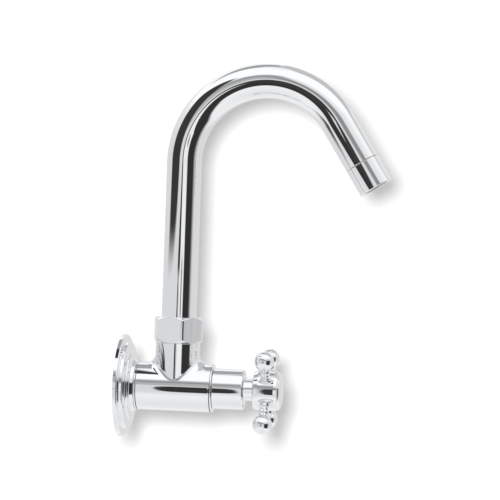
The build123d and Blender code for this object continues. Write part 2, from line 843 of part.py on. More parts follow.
def handle_cap():
    spigot = cap_spigot_diameter / 2
    top = hub_end + cap_thickness
    cap = turned([
        (hub_end - cap_spigot_length, spigot - cap_spigot_wall, 0),
        (hub_end - cap_spigot_length, spigot, 0.3),
        (hub_end, spigot, 0),
        (hub_end, rim_radius - groove_chamfer, 0),
        (hub_end + groove_chamfer, rim_radius - rim_taper / 2, 0),
        (top, hub_radius - cap_edge_drop, cap_rounding),
        (top, 0, 0),
        (top - cap_skin, 0, 0),
        (top - cap_skin, spigot - cap_spigot_wall, 0.8),
    ])
    dome = Pos(0, 0, top - cap_dome_radius) * Sphere(cap_dome_radius)
    return barrel_frame * (cap & dome)


def plunger():
    disc = ring(plunger_x, plunger_stem_x, 0, plunger_disc_diameter / 2, 0.3)
    stem = hexagon(plunger_stem_x, plunger_end, plunger_across_flats)
    bore = ring(plunger_bore_x, plunger_end, 0, spindle_screw_diameter / 2 + running_clearance)
    tapping = ring(plunger_x, plunger_x + washer_screw_reach + 0.2, 0, washer_screw_diameter / 2 + running_clearance)
    return barrel_frame * (disc + stem - bore - tapping)


def seat_washer():
    hole = washer_screw_diameter / 2 + running_clearance
    return barrel_frame * ring(washer_x, plunger_x, hole, washer_diameter / 2, 0.3)


def washer_screw():
    head_x = washer_x - washer_screw_head_height
    outline = [
        (head_x, 0, 0),
        (head_x, washer_screw_head_diameter / 2, 0.3),
        (washer_x, washer_screw_head_diameter / 2, 0),
        (washer_x, washer_screw_diameter / 2, 0),
        (plunger_x + washer_screw_reach, washer_screw_diameter / 2, 0.3),
        (plunger_x + washer_screw_reach, 0, 0),
    ]
    return barrel_frame * (turned(outline) - slot(head_x, head_x + screw_slot_depth, hub_diameter))


def save(name, *solids):
    """Write one node, with each of its pieces as a solid of its own."""
    bodies = []
    for shape in solids:
        bodies += shape.solids()
    whole = bodies[0] if len(bodies) == 1 else Compound(children=bodies)
    export_step(whole, os.path.join("parts", name + ".step"))


os.makedirs("parts", exist_ok=True)
save("body_casting", body_casting())
save("wall_flange", wall_flange())
save("headwork_gasket", headwork_gasket())
save("headwork_bush", headwork_bush())
save("bonnet_sleeve", bonnet_sleeve())
save("swivel_nut", swivel_nut())
save("spout_thrust_washer", spout_thrust_washer())
save("spout_bearing_ring", spout_bearing_ring())
save("spindle", spindle())
save("spindle_o_rings", *spindle_o_rings())
save("spindle_circlip", spindle_circlip())
save("handle_hub", handle_hub())
for number, frame in enumerate(arm_frames(), start=1):
    save(f"handle_arm_{number}", handle_arm(frame))
save("handle_screw", handle_screw())
save("handle_cap", handle_cap())
save("plunger", plunger())
save("seat_washer", seat_washer())
save("washer_screw", washer_screw())
save("spout_tail", spout_tail())
save("spout_o_rings", *spout_o_rings())
save("spout_tube", spout_tube())
save("outlet_nipple", outlet_nipple())
save("aerator_housing", aerator_housing())
save("aerator_gasket", aerator_gasket())
save("aerator_insert", aerator_insert())
save("aerator_screens", *aerator_screens())
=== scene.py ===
"""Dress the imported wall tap: smooth plated pieces over the frame, a soft studio and the photograph's camera."""

import json
import logging
import math
from dataclasses import dataclass
from enum import Enum
from typing import Sequence

import bmesh
import bpy
import numpy as np
from mathutils import Matrix, Vector
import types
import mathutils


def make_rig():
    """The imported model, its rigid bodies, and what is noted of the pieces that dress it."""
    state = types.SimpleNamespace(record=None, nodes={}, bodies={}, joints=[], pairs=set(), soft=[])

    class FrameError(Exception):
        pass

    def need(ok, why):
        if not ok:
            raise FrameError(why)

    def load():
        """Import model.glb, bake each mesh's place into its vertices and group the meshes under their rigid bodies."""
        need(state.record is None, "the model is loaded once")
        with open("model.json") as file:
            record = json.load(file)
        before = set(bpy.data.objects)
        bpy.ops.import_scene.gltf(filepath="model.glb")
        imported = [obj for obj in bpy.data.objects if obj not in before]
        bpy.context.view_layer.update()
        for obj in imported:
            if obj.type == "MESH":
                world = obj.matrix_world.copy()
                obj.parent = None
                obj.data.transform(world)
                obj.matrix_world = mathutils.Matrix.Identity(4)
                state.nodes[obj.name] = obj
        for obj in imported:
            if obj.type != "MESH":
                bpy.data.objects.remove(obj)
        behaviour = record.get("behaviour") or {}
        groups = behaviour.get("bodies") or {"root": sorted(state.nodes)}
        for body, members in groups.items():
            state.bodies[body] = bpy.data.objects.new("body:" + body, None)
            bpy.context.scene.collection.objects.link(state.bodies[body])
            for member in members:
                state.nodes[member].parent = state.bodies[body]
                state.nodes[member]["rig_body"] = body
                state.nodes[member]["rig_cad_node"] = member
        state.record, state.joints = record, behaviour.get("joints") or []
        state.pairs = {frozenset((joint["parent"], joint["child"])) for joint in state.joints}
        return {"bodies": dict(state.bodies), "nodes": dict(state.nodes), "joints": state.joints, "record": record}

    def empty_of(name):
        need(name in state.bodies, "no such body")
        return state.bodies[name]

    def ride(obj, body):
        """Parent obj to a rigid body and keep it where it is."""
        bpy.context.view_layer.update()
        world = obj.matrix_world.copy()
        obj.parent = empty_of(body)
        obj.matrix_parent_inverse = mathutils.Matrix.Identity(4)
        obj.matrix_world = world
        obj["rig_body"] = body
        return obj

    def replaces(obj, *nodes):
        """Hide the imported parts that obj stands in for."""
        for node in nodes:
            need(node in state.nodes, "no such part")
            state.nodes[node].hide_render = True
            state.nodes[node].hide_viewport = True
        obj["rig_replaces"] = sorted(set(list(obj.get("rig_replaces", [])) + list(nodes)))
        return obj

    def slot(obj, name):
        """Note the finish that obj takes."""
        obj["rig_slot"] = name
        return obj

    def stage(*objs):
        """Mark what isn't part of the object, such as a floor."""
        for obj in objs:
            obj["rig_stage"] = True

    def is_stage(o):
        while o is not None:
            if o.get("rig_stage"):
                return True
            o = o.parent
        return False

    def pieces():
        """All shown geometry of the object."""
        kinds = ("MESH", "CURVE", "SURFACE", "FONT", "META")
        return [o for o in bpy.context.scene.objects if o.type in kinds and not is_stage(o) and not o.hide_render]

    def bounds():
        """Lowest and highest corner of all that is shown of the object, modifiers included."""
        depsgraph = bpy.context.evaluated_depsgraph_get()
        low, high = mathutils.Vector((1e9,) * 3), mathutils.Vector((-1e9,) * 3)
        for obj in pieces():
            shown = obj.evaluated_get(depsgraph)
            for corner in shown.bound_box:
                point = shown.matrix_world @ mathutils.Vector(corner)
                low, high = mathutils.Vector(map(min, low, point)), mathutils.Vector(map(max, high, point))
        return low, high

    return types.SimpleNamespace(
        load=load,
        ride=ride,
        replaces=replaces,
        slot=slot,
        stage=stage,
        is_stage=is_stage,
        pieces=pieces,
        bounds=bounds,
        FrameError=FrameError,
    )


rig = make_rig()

LOG = logging.getLogger("wall_tap")
SIZE_FILE = "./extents.json"
MM = 0.001                              # sizes are in millimetres, Blender's meshes in metres
WELD = 2e-4                             # points of a skin this close, in millimetres, become one
COPY_WELD, SWEEP_WELD = 2e-7, 1e-8      # the same for packed and for swept meshes, in metres
COPY_SHARP_DEG = 28.0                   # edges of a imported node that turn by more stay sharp
MIX_A, MIX_B, MIX_COLOUR = 6, 7, 2      # a Mix node's sockets for colours
WHITE = "#FFFFFF"
SQUARE = ((-1, -1), (1, -1), (1, 1), (-1, 1))

Corner = tuple[float, float, float]
Triple = tuple[float, float, float]
Socket = bpy.types.NodeSocket
Material = bpy.types.Material
Object = bpy.types.Object
Tree = bpy.types.NodeTree


class Body(Enum):
    """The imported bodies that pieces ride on."""

    ROOT = "root"
    HANDLE = "handle"
    PLUNGER = "plunger"
    SPOUT = "spout"


class Slot(Enum):
    """The record's material slots."""

    CHROME = "chrome_plate"
    BRASS = "brass"
    RUBBER = "seal_rubber"
    ACETAL = "acetal"
    STEEL = "stainless_steel"


# ---- nodes, colours and objects


def linear(hex_colour: str) -> tuple[float, float, float, float]:
    """Turn an sRGB hex colour into the linear RGBA that Blender's sockets take.

    Args:
        hex_colour: Six hex digits after a hash.

    Returns:
        Linear red, green, blue and an alpha of 1.
    """
    parts = [int(hex_colour[i:i + 2], 16) / 255 for i in (1, 3, 5)]
    red, green, blue = [p / 12.92 if p <= 0.04045 else ((p + 0.055) / 1.055) ** 2.4 for p in parts]
    return (red, green, blue, 1.0)


def add_node(tree: Tree, kind: str, settings: dict | None = None, inputs: dict | None = None) -> bpy.types.Node:
    """Add one node with its settings, values and links.

    Args:
        tree: The tree that gets the node.
        kind: The node's Blender type name.
        settings: Attributes of the node.
        inputs: Socket name or number to a value, or to the output socket that feeds it.

    Returns:
        The new node.
    """
    node = tree.nodes.new(kind)
    for name, value in (settings or {}).items():
        setattr(node, name, value)
    for key, value in (inputs or {}).items():
        socket = node.inputs[key]
        if isinstance(value, Socket):
            tree.links.new(value, socket)
        else:
            socket.default_value = value
    return node


def calc(tree: Tree, kind: str, *values: Socket | float) -> Socket:
    """Add a math node.

    Args:
        tree: The tree that gets it.
        kind: The operation.
        values: Numbers, or the outputs that feed it.

    Returns:
        The result.
    """
    return add_node(tree, "ShaderNodeMath", {"operation": kind}, dict(enumerate(values))).outputs[0]


def mix(tree: Tree, share: Socket, first: Socket | tuple, second: Socket | tuple) -> Socket:
    """Mix two colours.

    Args:
        tree: The tree that gets the node.
        share: How much of the second colour.
        first: The colour, or the output that gives it.
        second: The other one.

    Returns:
        The mixed colour.
    """
    return add_node(tree, "ShaderNodeMix", {"data_type": "RGBA"}, {
        "Factor": share, MIX_A: first, MIX_B: second}).outputs[MIX_COLOUR]


def bare_tree(owner: Material | bpy.types.World) -> Tree:
    """Give a material or a world an empty node tree.

    Args:
        owner: The material or world.

    Returns:
        The tree.
    """
    owner.use_nodes = True
    owner.node_tree.nodes.clear()
    return owner.node_tree


def show(tree: Tree, front: Socket, clear_share: Socket) -> None:
    """Finish a material that shows a shader, apart from a share that is clear.

    Args:
        tree: The material's tree.
        front: The shader.
        clear_share: How much of it is clear.
    """
    clear = add_node(tree, "ShaderNodeBsdfTransparent")
    both = add_node(tree, "ShaderNodeMixShader", {}, {0: clear_share, 1: front, 2: clear.outputs[0]})
    add_node(tree, "ShaderNodeOutputMaterial", {}, {"Surface": both.outputs[0]})


def add_object(name: str, data: bpy.types.ID) -> Object:
    """Put new data into the scene as an object.

    Args:
        name: Name of the object.
        data: A mesh, lamp or camera.

    Returns:
        The object.
    """
    thing = bpy.data.objects.new(name, data)
    bpy.context.scene.collection.objects.link(thing)
    return thing


# ---- finishes


class Paint:
    """A Principled material in the making, with patterns that lie in the object's own space."""

    def __init__(self, name: str, plain: dict[str, object]) -> None:
        """Start the material.

        Args:
            name: Name of the material.
            plain: Inputs of the shader that stay the same all over.
        """
        self.material = bpy.data.materials.new(name)
        self.material.use_nodes = True
        self.tree = self.material.node_tree
        self.shader = self.tree.nodes["Principled BSDF"]
        self.place = add_node(self.tree, "ShaderNodeTexCoord").outputs["Object"]
        for socket, value in plain.items():
            self.shader.inputs[socket].default_value = value

    def noise(self, size: float, **inputs: float) -> Socket:
        """Return noise with patches of a size in millimetres, and the noise node's further inputs by name."""
        return add_node(self.tree, "ShaderNodeTexNoise", {}, {
            "Vector": self.place, "Scale": 1 / (size * MM), **inputs}).outputs[0]

    def gloss(self, pattern: Socket, ends: tuple[float, float], span: tuple[float, float] = (0.0, 1.0)) -> None:
        """Let the roughness go between two ends while a pattern goes over a span."""
        rough = add_node(self.tree, "ShaderNodeMapRange", {}, {
            "Value": pattern, "From Min": span[0], "From Max": span[1], "To Min": ends[0], "To Max": ends[1]})
        self.tree.links.new(rough.outputs[0], self.shader.inputs["Roughness"])

    def tint(self, pattern: Socket, first: str, second: str) -> None:
        """Let the base colour go between two hex colours, as a pattern says."""
        colour = mix(self.tree, pattern, linear(first), linear(second))
        self.tree.links.new(colour, self.shader.inputs["Base Color"])

    def bump(self, pattern: Socket, strength: float, depth: float) -> None:
        """Raise the surface by a pattern, to a depth in millimetres."""
        raised = add_node(self.tree, "ShaderNodeBump", {}, {
            "Height": pattern, "Strength": strength, "Distance": depth * MM})
        self.tree.links.new(raised.outputs[0], self.shader.inputs["Normal"])


@dataclass(frozen=True)
class ChromePlate:
    """Decorative chrome over polished brass: a bright, faintly cool mirror with hand-polishing waves."""

    name: str = "chrome_plate_polished"
    colour: str = "#F2F3F5"
    roughness: float = 0.035
    wave: float = 16.0          # length of the soft waves that buffing leaves
    wave_depth: float = 0.012
    bloom: float = 5.0          # patches of slightly duller plate

    def build(self) -> Material:
        """Build the material.

        Returns:
            A mirror whose highlights waver slightly, as on a polished casting.
        """
        paint = Paint(self.name, {"Base Color": linear(self.colour), "Metallic": 1.0})
        bloom = paint.noise(self.bloom, Detail=3.0, Roughness=0.6)
        paint.gloss(bloom, (self.roughness * 0.8, self.roughness * 1.6), (0.45, 0.75))
        paint.bump(paint.noise(self.wave, Detail=1.0, Roughness=0.4), 1.0, self.wave_depth)
        return paint.material


@dataclass(frozen=True)
class TurnedBrass:
    """Free-cutting brass as it comes off the lathe: warm yellow with fine turning marks."""

    name: str = "brass_turned"
    colour: str = "#C9A45A"
    dark_colour: str = "#A8803C"
    roughness: float = 0.28
    groove: float = 0.6         # real feed marks are 0.1 mm; drawn coarser so that they show
    spread: float = 3.2
    groove_depth: float = 0.05

    def build(self) -> Material:
        """Build the material.

        Returns:
            A warm metal with thin bands across the turning axis.
        """
        paint = Paint(self.name, {"Metallic": 1.0, "Roughness": self.roughness})
        marks = add_node(paint.tree, "ShaderNodeTexWave", {"bands_direction": "X"}, {
            "Vector": paint.place, "Scale": 1 / (2 * math.pi * self.groove * MM) / self.spread,
            "Distortion": 1.5, "Detail": 2.0}).outputs["Fac"]
        paint.tint(marks, self.dark_colour, self.colour)
        paint.bump(marks, 0.25, self.groove_depth)
        return paint.material


@dataclass(frozen=True)
class MouldedRubber:
    """Black nitrile rubber from a mould: almost black, soft sheen, faint grain."""

    name: str = "nitrile_rubber_moulded"
    colour: str = "#1C1C1E"
    worn_colour: str = "#2B2B2D"
    grain: float = 0.5
    grain_depth: float = 0.05

    def build(self) -> Material:
        """Build the material.

        Returns:
            A dull dark surface with fine grain and small changes of tone.
        """
        paint = Paint(self.name, {"Roughness": 0.55, "IOR": 1.52})
        grain = paint.noise(self.grain, Detail=4.0)
        paint.tint(grain, self.colour, self.worn_colour)
        paint.bump(grain, 0.2, self.grain_depth)
        return paint.material


@dataclass(frozen=True)
class MouldedAcetal:
    """Natural acetal, injection moulded: milky white, waxy, slightly see-through at thin edges."""

    name: str = "acetal_moulded"
    colour: str = "#E9E8E2"
    flow_colour: str = "#DCDAD0"
    flow: float = 4.0
    depth: float = 0.6          # how far light gets into it

    def build(self) -> Material:
        """Build the material.

        Returns:
            A milky plastic with faint flow marks from the mould.
        """
        paint = Paint(self.name, {"Roughness": 0.38, "IOR": 1.48, "Subsurface Weight": 0.15,
                                  "Subsurface Scale": self.depth * MM})
        paint.tint(paint.noise(self.flow, Detail=2.0, Distortion=0.8), self.colour, self.flow_colour)
        return paint.material


@dataclass(frozen=True)
class DrawnStainless:
    """Drawn stainless steel wire and small bright hardware: grey, silky, with fine draw lines."""

    name: str = "stainless_steel_drawn"
    colour: str = "#B4B6B8"
    line: float = 0.4
    roughness: tuple[float, float] = (0.22, 0.36)

    def build(self) -> Material:
        """Build the material.

        Returns:
            A silky grey metal whose gloss varies slightly.
        """
        paint = Paint(self.name, {"Base Color": linear(self.colour), "Metallic": 1.0})
        paint.gloss(paint.noise(self.line, Detail=2.0), self.roughness)
        return paint.material


@dataclass(frozen=True)
class Kit:
    """What the sub-assemblies build with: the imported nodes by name, and a finish for each slot."""

    nodes: dict[str, Object]
    finishes: dict[Slot, Material]

    @property
    def chrome(self) -> Material:
        """The plated finish."""
        return self.finishes[Slot.CHROME]


# ---- frames, outlines and skins


@dataclass(frozen=True)
class TurningFrame:
    """Where a turned piece stands, in millimetres: its axis, and the direction its angles start from."""

    origin: Triple
    axis: Triple
    across: Triple

    def directions(self) -> np.ndarray:
        """Return the frame's x, y and z directions as the rows of a matrix."""
        along, start = np.array(self.axis, float), np.array(self.across, float)
        return np.stack([start, np.cross(along, start), along])

    def place(self, points: np.ndarray) -> np.ndarray:
        """Carry local points into the object's frame."""
        return self.turn(points) + np.array(self.origin, float)

    def turn(self, vectors: np.ndarray) -> np.ndarray:
        """Carry local directions into the object's frame."""
        return vectors @ self.directions()

    def shifted(self, along: float, across: Sequence[float] | None = None) -> "TurningFrame":
        """Return a frame further along this one's axis, and turned to another start if one is given."""
        origin = np.array(self.origin) + along * np.array(self.axis)
        return TurningFrame(tuple(origin), self.axis, tuple(self.across if across is None else across))

    def matrix(self) -> Matrix:
        """Turn the frame into a Blender matrix.

        Returns:
            The matrix, in metres.
        """
        matrix = Matrix(self.directions().T.tolist()).to_4x4()
        matrix.translation = Vector(self.origin) * MM
        return matrix


BARREL = TurningFrame((0, 0, 0), (1, 0, 0), (0, 1, 0))
STEM = TurningFrame((35.0, 0, 0), (0, 0, 1), (1, 0, 0))


@dataclass(frozen=True)
class RingThread:
    """A thread drawn as equal rings, for threads that stay hidden."""

    pitch: float
    crest: float
    depth: float

    @property
    def root(self) -> float:
        """Radius between the rings."""
        return self.crest - self.depth

    def corners(self, start: float, turns: int) -> list[Corner]:
        """List the outline corners of some turns.

        Args:
            start: Where the first ring begins.
            turns: How many rings.

        Returns:
            The corners in order along the axis.
        """
        corners: list[Corner] = []
        for turn in range(turns):
            foot = start + turn * self.pitch
            corners += [(foot, self.root, 0), (foot + self.pitch * 3 / 8, self.crest, 0),
                        (foot + self.pitch / 2, self.crest, 0), (foot + self.pitch * 7 / 8, self.root, 0)]
        return corners


FINE_THREAD = RingThread(1.0, 10.12, 0.6)
PIPE_PITCH, PIPE_DEPTH = 1.814, 1.162


@dataclass
class Outline:
    """A line of (along, radius) points with the surface normal on each side of every point."""

    points: np.ndarray
    before: np.ndarray
    after: np.ndarray


def rounded(corners: Sequence[Corner], closed: bool = True, arc_steps: int = 8) -> Outline:
    """Round the corners of an outline, keeping exact normals.

    Args:
        corners: (along, radius, rounding) in millimetres, with the solid on the left of the path.
        closed: Whether the last corner joins the first.
        arc_steps: Steps along a rounded corner.

    Returns:
        The points with their normals.
    """
    flat = np.array([(c[0], c[1]) for c in corners], float)
    count = len(flat)
    rows: list[tuple[np.ndarray, np.ndarray, np.ndarray]] = []      # point, and the way in and out of it

    def share(neighbour: int) -> float:
        """Return how much of a side an arc may use, which is less where the next corner is rounded too."""
        return 0.48 if corners[neighbour][2] else 0.98

    for i, (here, (_, _, rounding)) in enumerate(zip(flat, corners)):
        following = (i + 1) % count
        back, ahead = flat[i - 1] - here, flat[following] - here
        if not closed and i in (0, count - 1):
            way = ahead if i == 0 else -back
            way = way / np.linalg.norm(way)
            rows.append((here, way, way))
            continue
        length_back, length_ahead = np.linalg.norm(back), np.linalg.norm(ahead)
        back, ahead = back / length_back, ahead / length_ahead
        half = math.acos(float(np.clip(back @ ahead, -1, 1))) / 2
        if rounding <= 0 or half > math.pi / 2 - 1e-4:
            way = (ahead - back) / np.linalg.norm(ahead - back)
            gentle = half > math.radians(87)
            rows.append((here, way, way) if gentle else (here, -back, ahead))
            continue
        reach = min(rounding / math.tan(half), share(i - 1) * length_back, share(following) * length_ahead)
        size = reach * math.tan(half)
        centre = here + (back + ahead) / np.linalg.norm(back + ahead) * size / math.sin(half)
        first, last = here + back * reach - centre, here + ahead * reach - centre
        sweep = math.atan2(first[0] * last[1] - first[1] * last[0], float(first @ last))
        for angle in (sweep * step / arc_steps for step in range(arc_steps + 1)):
            cos, sin = math.cos(angle), math.sin(angle)
            spoke = np.array([[cos, -sin], [sin, cos]]) @ first
            tangent = np.array([-spoke[1], spoke[0]]) / size * (1 if sweep > 0 else -1)
            rows.append((centre + spoke, tangent, tangent))
    points, ways_in, ways_out = (np.array(column) for column in zip(*rows))
    return Outline(points, *(np.stack([ways[:, 1], -ways[:, 0]], 1) for ways in (ways_in, ways_out)))


def full_turn(segments: int) -> np.ndarray:
    """Return equal angles round a full turn, the last equal to the first."""
    return np.linspace(0.0, 2 * math.pi, segments + 1)


def repeated(row: np.ndarray, times: int) -> np.ndarray:
    """Return a grid of equal rows."""
    return np.repeat(row[None], times, 0)


class Skin:
    """Collects surface patches with exact normals and welds them into one closed mesh."""

    def __init__(self) -> None:
        """Start with no patches."""
        self.quads: list[np.ndarray] = []
        self.normals: list[np.ndarray] = []

    def patch(self, points: np.ndarray, normals: np.ndarray, ends: np.ndarray | None = None) -> None:
        """Add a grid of points.

        Args:
            points: Rows by columns by 3, in millimetres.
            normals: Unit normals of the same shape, for the side of each row that looks to the next row.
            ends: Normals for the side of each row that looks to the row before, if they differ.
        """
        ends = normals if ends is None else ends
        quad = np.stack([points[:-1, :-1], points[1:, :-1], points[1:, 1:], points[:-1, 1:]], 2)
        look = np.stack([normals[:-1, :-1], ends[1:, :-1], ends[1:, 1:], normals[:-1, 1:]], 2)
        quad, look = quad.reshape(-1, 4, 3), look.reshape(-1, 4, 3)
        facing = np.cross(quad[:, 2] - quad[:, 0], quad[:, 3] - quad[:, 1])
        wrong = np.einsum("ij,ij->i", facing, look.sum(1)) < 0
        quad[wrong], look[wrong] = quad[wrong][:, ::-1], look[wrong][:, ::-1]
        self.quads.append(quad)
        self.normals.append(look)

    def soft_patch(self, points: np.ndarray, centre: np.ndarray) -> None:
        """Add a grid whose normals come from its faces, weighted by their areas, so that flats stay flat.

        Args:
            points: Rows by columns by 3, in millimetres; the last column equals the first.
            centre: A point inside the piece.
        """
        across = np.cross(points[1:, 1:] - points[:-1, :-1], points[:-1, 1:] - points[1:, :-1])
        weighted = across * np.linalg.norm(across, axis=2, keepdims=True) ** 0.5
        total = np.zeros_like(points)
        for row in (0, 1):
            for column in (0, 1):
                total[row:len(points) - 1 + row, column:points.shape[1] - 1 + column] += weighted
        total[:, 0] = total[:, -1] = total[:, 0] + total[:, -1]
        size = np.linalg.norm(total, axis=2, keepdims=True)
        total = total / np.where(size > 0, size, 1)
        self.patch(points, total if np.einsum("ijk,ijk->", total, points - centre) >= 0 else -total)

    def spin(self, outline: Outline, frame: TurningFrame, angles: np.ndarray, closed: bool = False) -> None:
        """Add the surface that an outline sweeps about a frame's axis.

        Args:
            outline: The outline, with normals.
            frame: The turning frame.
            angles: The angles of the columns in radians, from the first to a full turn later.
            closed: Whether the outline's last point joins its first.
        """
        order = list(range(len(outline.points))) + ([0] if closed else [])
        points, after, before = (
            np.stack([line[order, 1:] * np.cos(angles), line[order, 1:] * np.sin(angles),
                      line[order, :1] + 0 * angles], 2)
            for line in (outline.points, outline.after, outline.before))
        self.patch(frame.place(points), frame.turn(after), frame.turn(before))

    def build(self, name: str, material: Material) -> Object:
        """Weld the patches.

        Args:
            name: Name of the piece.
            material: Its finish.

        Returns:
            A mesh object at the origin, in metres.
        """
        quads, normals = np.concatenate(self.quads), np.concatenate(self.normals)
        flat = quads.reshape(-1, 3)
        grid = np.round(flat / WELD).astype(np.int64)
        _, first, index = np.unique(grid, axis=0, return_index=True, return_inverse=True)
        faces, looks = [], []
        for face, look in zip(index.reshape(-1, 4).tolist(), normals.tolist()):
            keep = [k for k in range(4) if face[k] != face[k - 1]]
            if len(keep) >= 3 and len({face[k] for k in keep}) == len(keep):
                faces.append([face[k] for k in keep])
                looks += [look[k] for k in keep]
        mesh = bpy.data.meshes.new(name)
        mesh.from_pydata((flat[first] * MM).tolist(), [], faces)
        mesh.shade_smooth()
        mesh.normals_split_custom_set(looks)
        mesh.materials.append(material)
        return add_object(name, mesh)

    def plated(self, kit: Kit, body: Body, node: str, suffix: str = "_polished") -> Object:
        """Weld the patches into a plated piece on its body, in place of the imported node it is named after."""
        return settle(self.build(node + suffix, kit.chrome), body, Slot.CHROME, node)


def turned_piece(kit: Kit, body: Body, node: str, corners: Sequence[Corner], frame: TurningFrame, segments: int,
                 closed: bool = True, suffix: str = "_polished") -> Object:
    """Make a plated piece that is turned about one axis, and put it on its body.

    Args:
        kit: Nodes and finishes.
        body: The body that carries it.
        node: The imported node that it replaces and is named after.
        corners: Its outline, with the solid on the left of the path.
        frame: Where it stands.
        segments: Facets round the axis.
        closed: Whether the outline is a loop, or else runs from the axis to the axis.
        suffix: The end of its name.

    Returns:
        The piece.
    """
    skin = Skin()
    skin.spin(rounded(corners, closed), frame, full_turn(segments), closed)
    return skin.plated(kit, body, node, suffix)


def settle(piece: Object, body: Body, slot: Slot, *nodes: str) -> Object:
    """Put a finished piece on its body, in place of the nodes it stands for.

    Args:
        piece: The piece.
        body: The body that carries it.
        slot: The record's material slot.
        nodes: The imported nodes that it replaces.

    Returns:
        The piece.
    """
    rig.ride(piece, body.value)
    if nodes:
        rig.replaces(piece, *nodes)
    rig.slot(piece, slot.value)
    LOG.info("%s: %d faces on %s", piece.name, len(piece.data.polygons), body.value)
    return piece


def smoothed_copy(kit: Kit, node: str, name: str, body: Body, slot: Slot) -> Object:
    """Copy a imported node, weld it, shade it smooth between its real edges and put it on its body.

    Args:
        kit: Nodes and finishes.
        node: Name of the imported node, which the copy replaces.
        name: Name of the copy.
        body: The body that carries it.
        slot: The record's material slot, which also says its finish.

    Returns:
        The copy.
    """
    mesh = kit.nodes[node].data.copy()
    work = bmesh.new()
    work.from_mesh(mesh)
    bmesh.ops.remove_doubles(work, verts=work.verts, dist=COPY_WELD)
    work.to_mesh(mesh)
    work.free()
    mesh.materials.clear()
    mesh.materials.append(kit.finishes[slot])
    mesh.shade_smooth()
    mesh.set_sharp_from_angle(angle=math.radians(COPY_SHARP_DEG))
    return settle(add_object(name, mesh), body, slot, node)


def joined(first: Object, second: Object) -> Object:
    """Join a second mesh into a first one, with the shading of both.

    Args:
        first: Keeps its name.
        second: Goes into it.

    Returns:
        The first object.
    """
    with bpy.context.temp_override(active_object=first, object=first, selected_objects=[first, second],
                                   selected_editable_objects=[first, second]):
        bpy.ops.object.join()
    return first


class ShapeTree:
    """A geometry node tree with named inputs, whose result is made real and given its finish."""

    def __init__(self, name: str, inputs: dict[str, str]) -> None:
        """Start the tree.

        Args:
            name: Name of the tree.
            inputs: The kind of each input by name, to which "Finish" is added.
        """
        self.tree = bpy.data.node_groups.new(name, "GeometryNodeTree")
        self.tree.interface.new_socket("Geometry", in_out="OUTPUT", socket_type="NodeSocketGeometry")
        for label, kind in {**inputs, "Finish": "Material"}.items():
            self.tree.interface.new_socket(label, in_out="INPUT", socket_type="NodeSocket" + kind)
        self.given = add_node(self.tree, "NodeGroupInput").outputs

    def add(self, kind: str, settings: dict | None = None, inputs: dict | None = None) -> Socket:
        """Add a node as add_node does, and return its first output."""
        return add_node(self.tree, kind, settings, inputs).outputs[0]

    def calc(self, kind: str, *values: Socket | float) -> Socket:
        """Add a math node and return its result."""
        return calc(self.tree, kind, *values)

    def point(self, *parts: Socket | float) -> Socket:
        """Combine up to three numbers into a vector."""
        return self.add("ShaderNodeCombineXYZ", {}, dict(enumerate(parts)))

    def sweep(self, line: Socket, section: Socket) -> Socket:
        """Sweep a section along a line, with closed ends."""
        return self.add("GeometryNodeCurveToMesh", {}, {
            "Curve": line, "Profile Curve": section, "Fill Caps": True})

    def finish(self, shape: Socket) -> "ShapeTree":
        """Make the shape real, give it its finish and hand it out.

        Args:
            shape: The shape.

        Returns:
            This tree.
        """
        real = self.add("GeometryNodeRealizeInstances", {}, {"Geometry": shape})
        painted = self.add("GeometryNodeSetMaterial", {}, {"Geometry": real, "Material": self.given["Finish"]})
        add_node(self.tree, "NodeGroupOutput", {}, {0: painted})
        return self

    def run(self, name: str, values: dict[str, object], frame: TurningFrame, sharp_deg: float) -> Object:
        """Evaluate the tree once and keep its result as a plain closed mesh with its normals outward.

        Args:
            name: Name of the piece.
            values: The tree's inputs by name.
            frame: Where the result stands.
            sharp_deg: Edges that turn by more than this stay sharp.

        Returns:
            A mesh object at the origin with no modifier.
        """
        holder = add_object(name + "_holder", bpy.data.meshes.new(name + "_holder"))
        modifier = holder.modifiers.new("nodes", "NODES")
        modifier.node_group = self.tree
        for item in self.tree.interface.items_tree:
            if item.item_type == "SOCKET" and item.in_out == "INPUT" and item.name in values:
                modifier[item.identifier] = values[item.name]
        mesh = bpy.data.meshes.new_from_object(holder.evaluated_get(bpy.context.evaluated_depsgraph_get()))
        bpy.data.objects.remove(holder)
        mesh.name = name
        mesh.transform(frame.matrix())
        mesh.shade_smooth()
        mesh.set_sharp_from_angle(angle=math.radians(sharp_deg))
        work = bmesh.new()
        work.from_mesh(mesh)
        bmesh.ops.remove_doubles(work, verts=work.verts, dist=SWEEP_WELD)
        bmesh.ops.recalc_face_normals(work, faces=work.faces)
        if work.calc_volume(signed=True) < 0:
            bmesh.ops.reverse_faces(work, faces=work.faces)
        work.to_mesh(mesh)
        work.free()
        return add_object(name, mesh)


# ---- holes in cylinders


def rectangle_loop(across: int, along: int, corner_deg: float = 44.0) -> tuple[np.ndarray, np.ndarray]:
    """Pair angles round a hole with the points of the rectangle that frames it.

    Args:
        across: Steps along each of the rectangle's short sides, an even number.
        along: Steps along each of its long sides.
        corner_deg: The angle that goes with the first corner.

    Returns:
        The angles from 0 to a full turn, and the matching (u, v) points from -1 to 1.
    """
    side, top = np.linspace(1, -1, across + 1), np.linspace(1, -1, along + 1)
    half = across // 2
    points = [(1.0, v) for v in side[half:0:-1]] + [(u, 1.0) for u in top[:-1]]
    points += [(-1.0, v) for v in side[:-1]] + [(u, -1.0) for u in top[:0:-1]]
    points += [(1.0, v) for v in side[:half - 1:-1]]
    corner = math.radians(corner_deg)
    marks = np.cumsum([0, half, along, across, along, half])
    places = [0, corner, math.pi - corner, math.pi + corner, 2 * math.pi - corner, 2 * math.pi]
    return np.interp(np.arange(len(points)), marks, places), np.array(points)


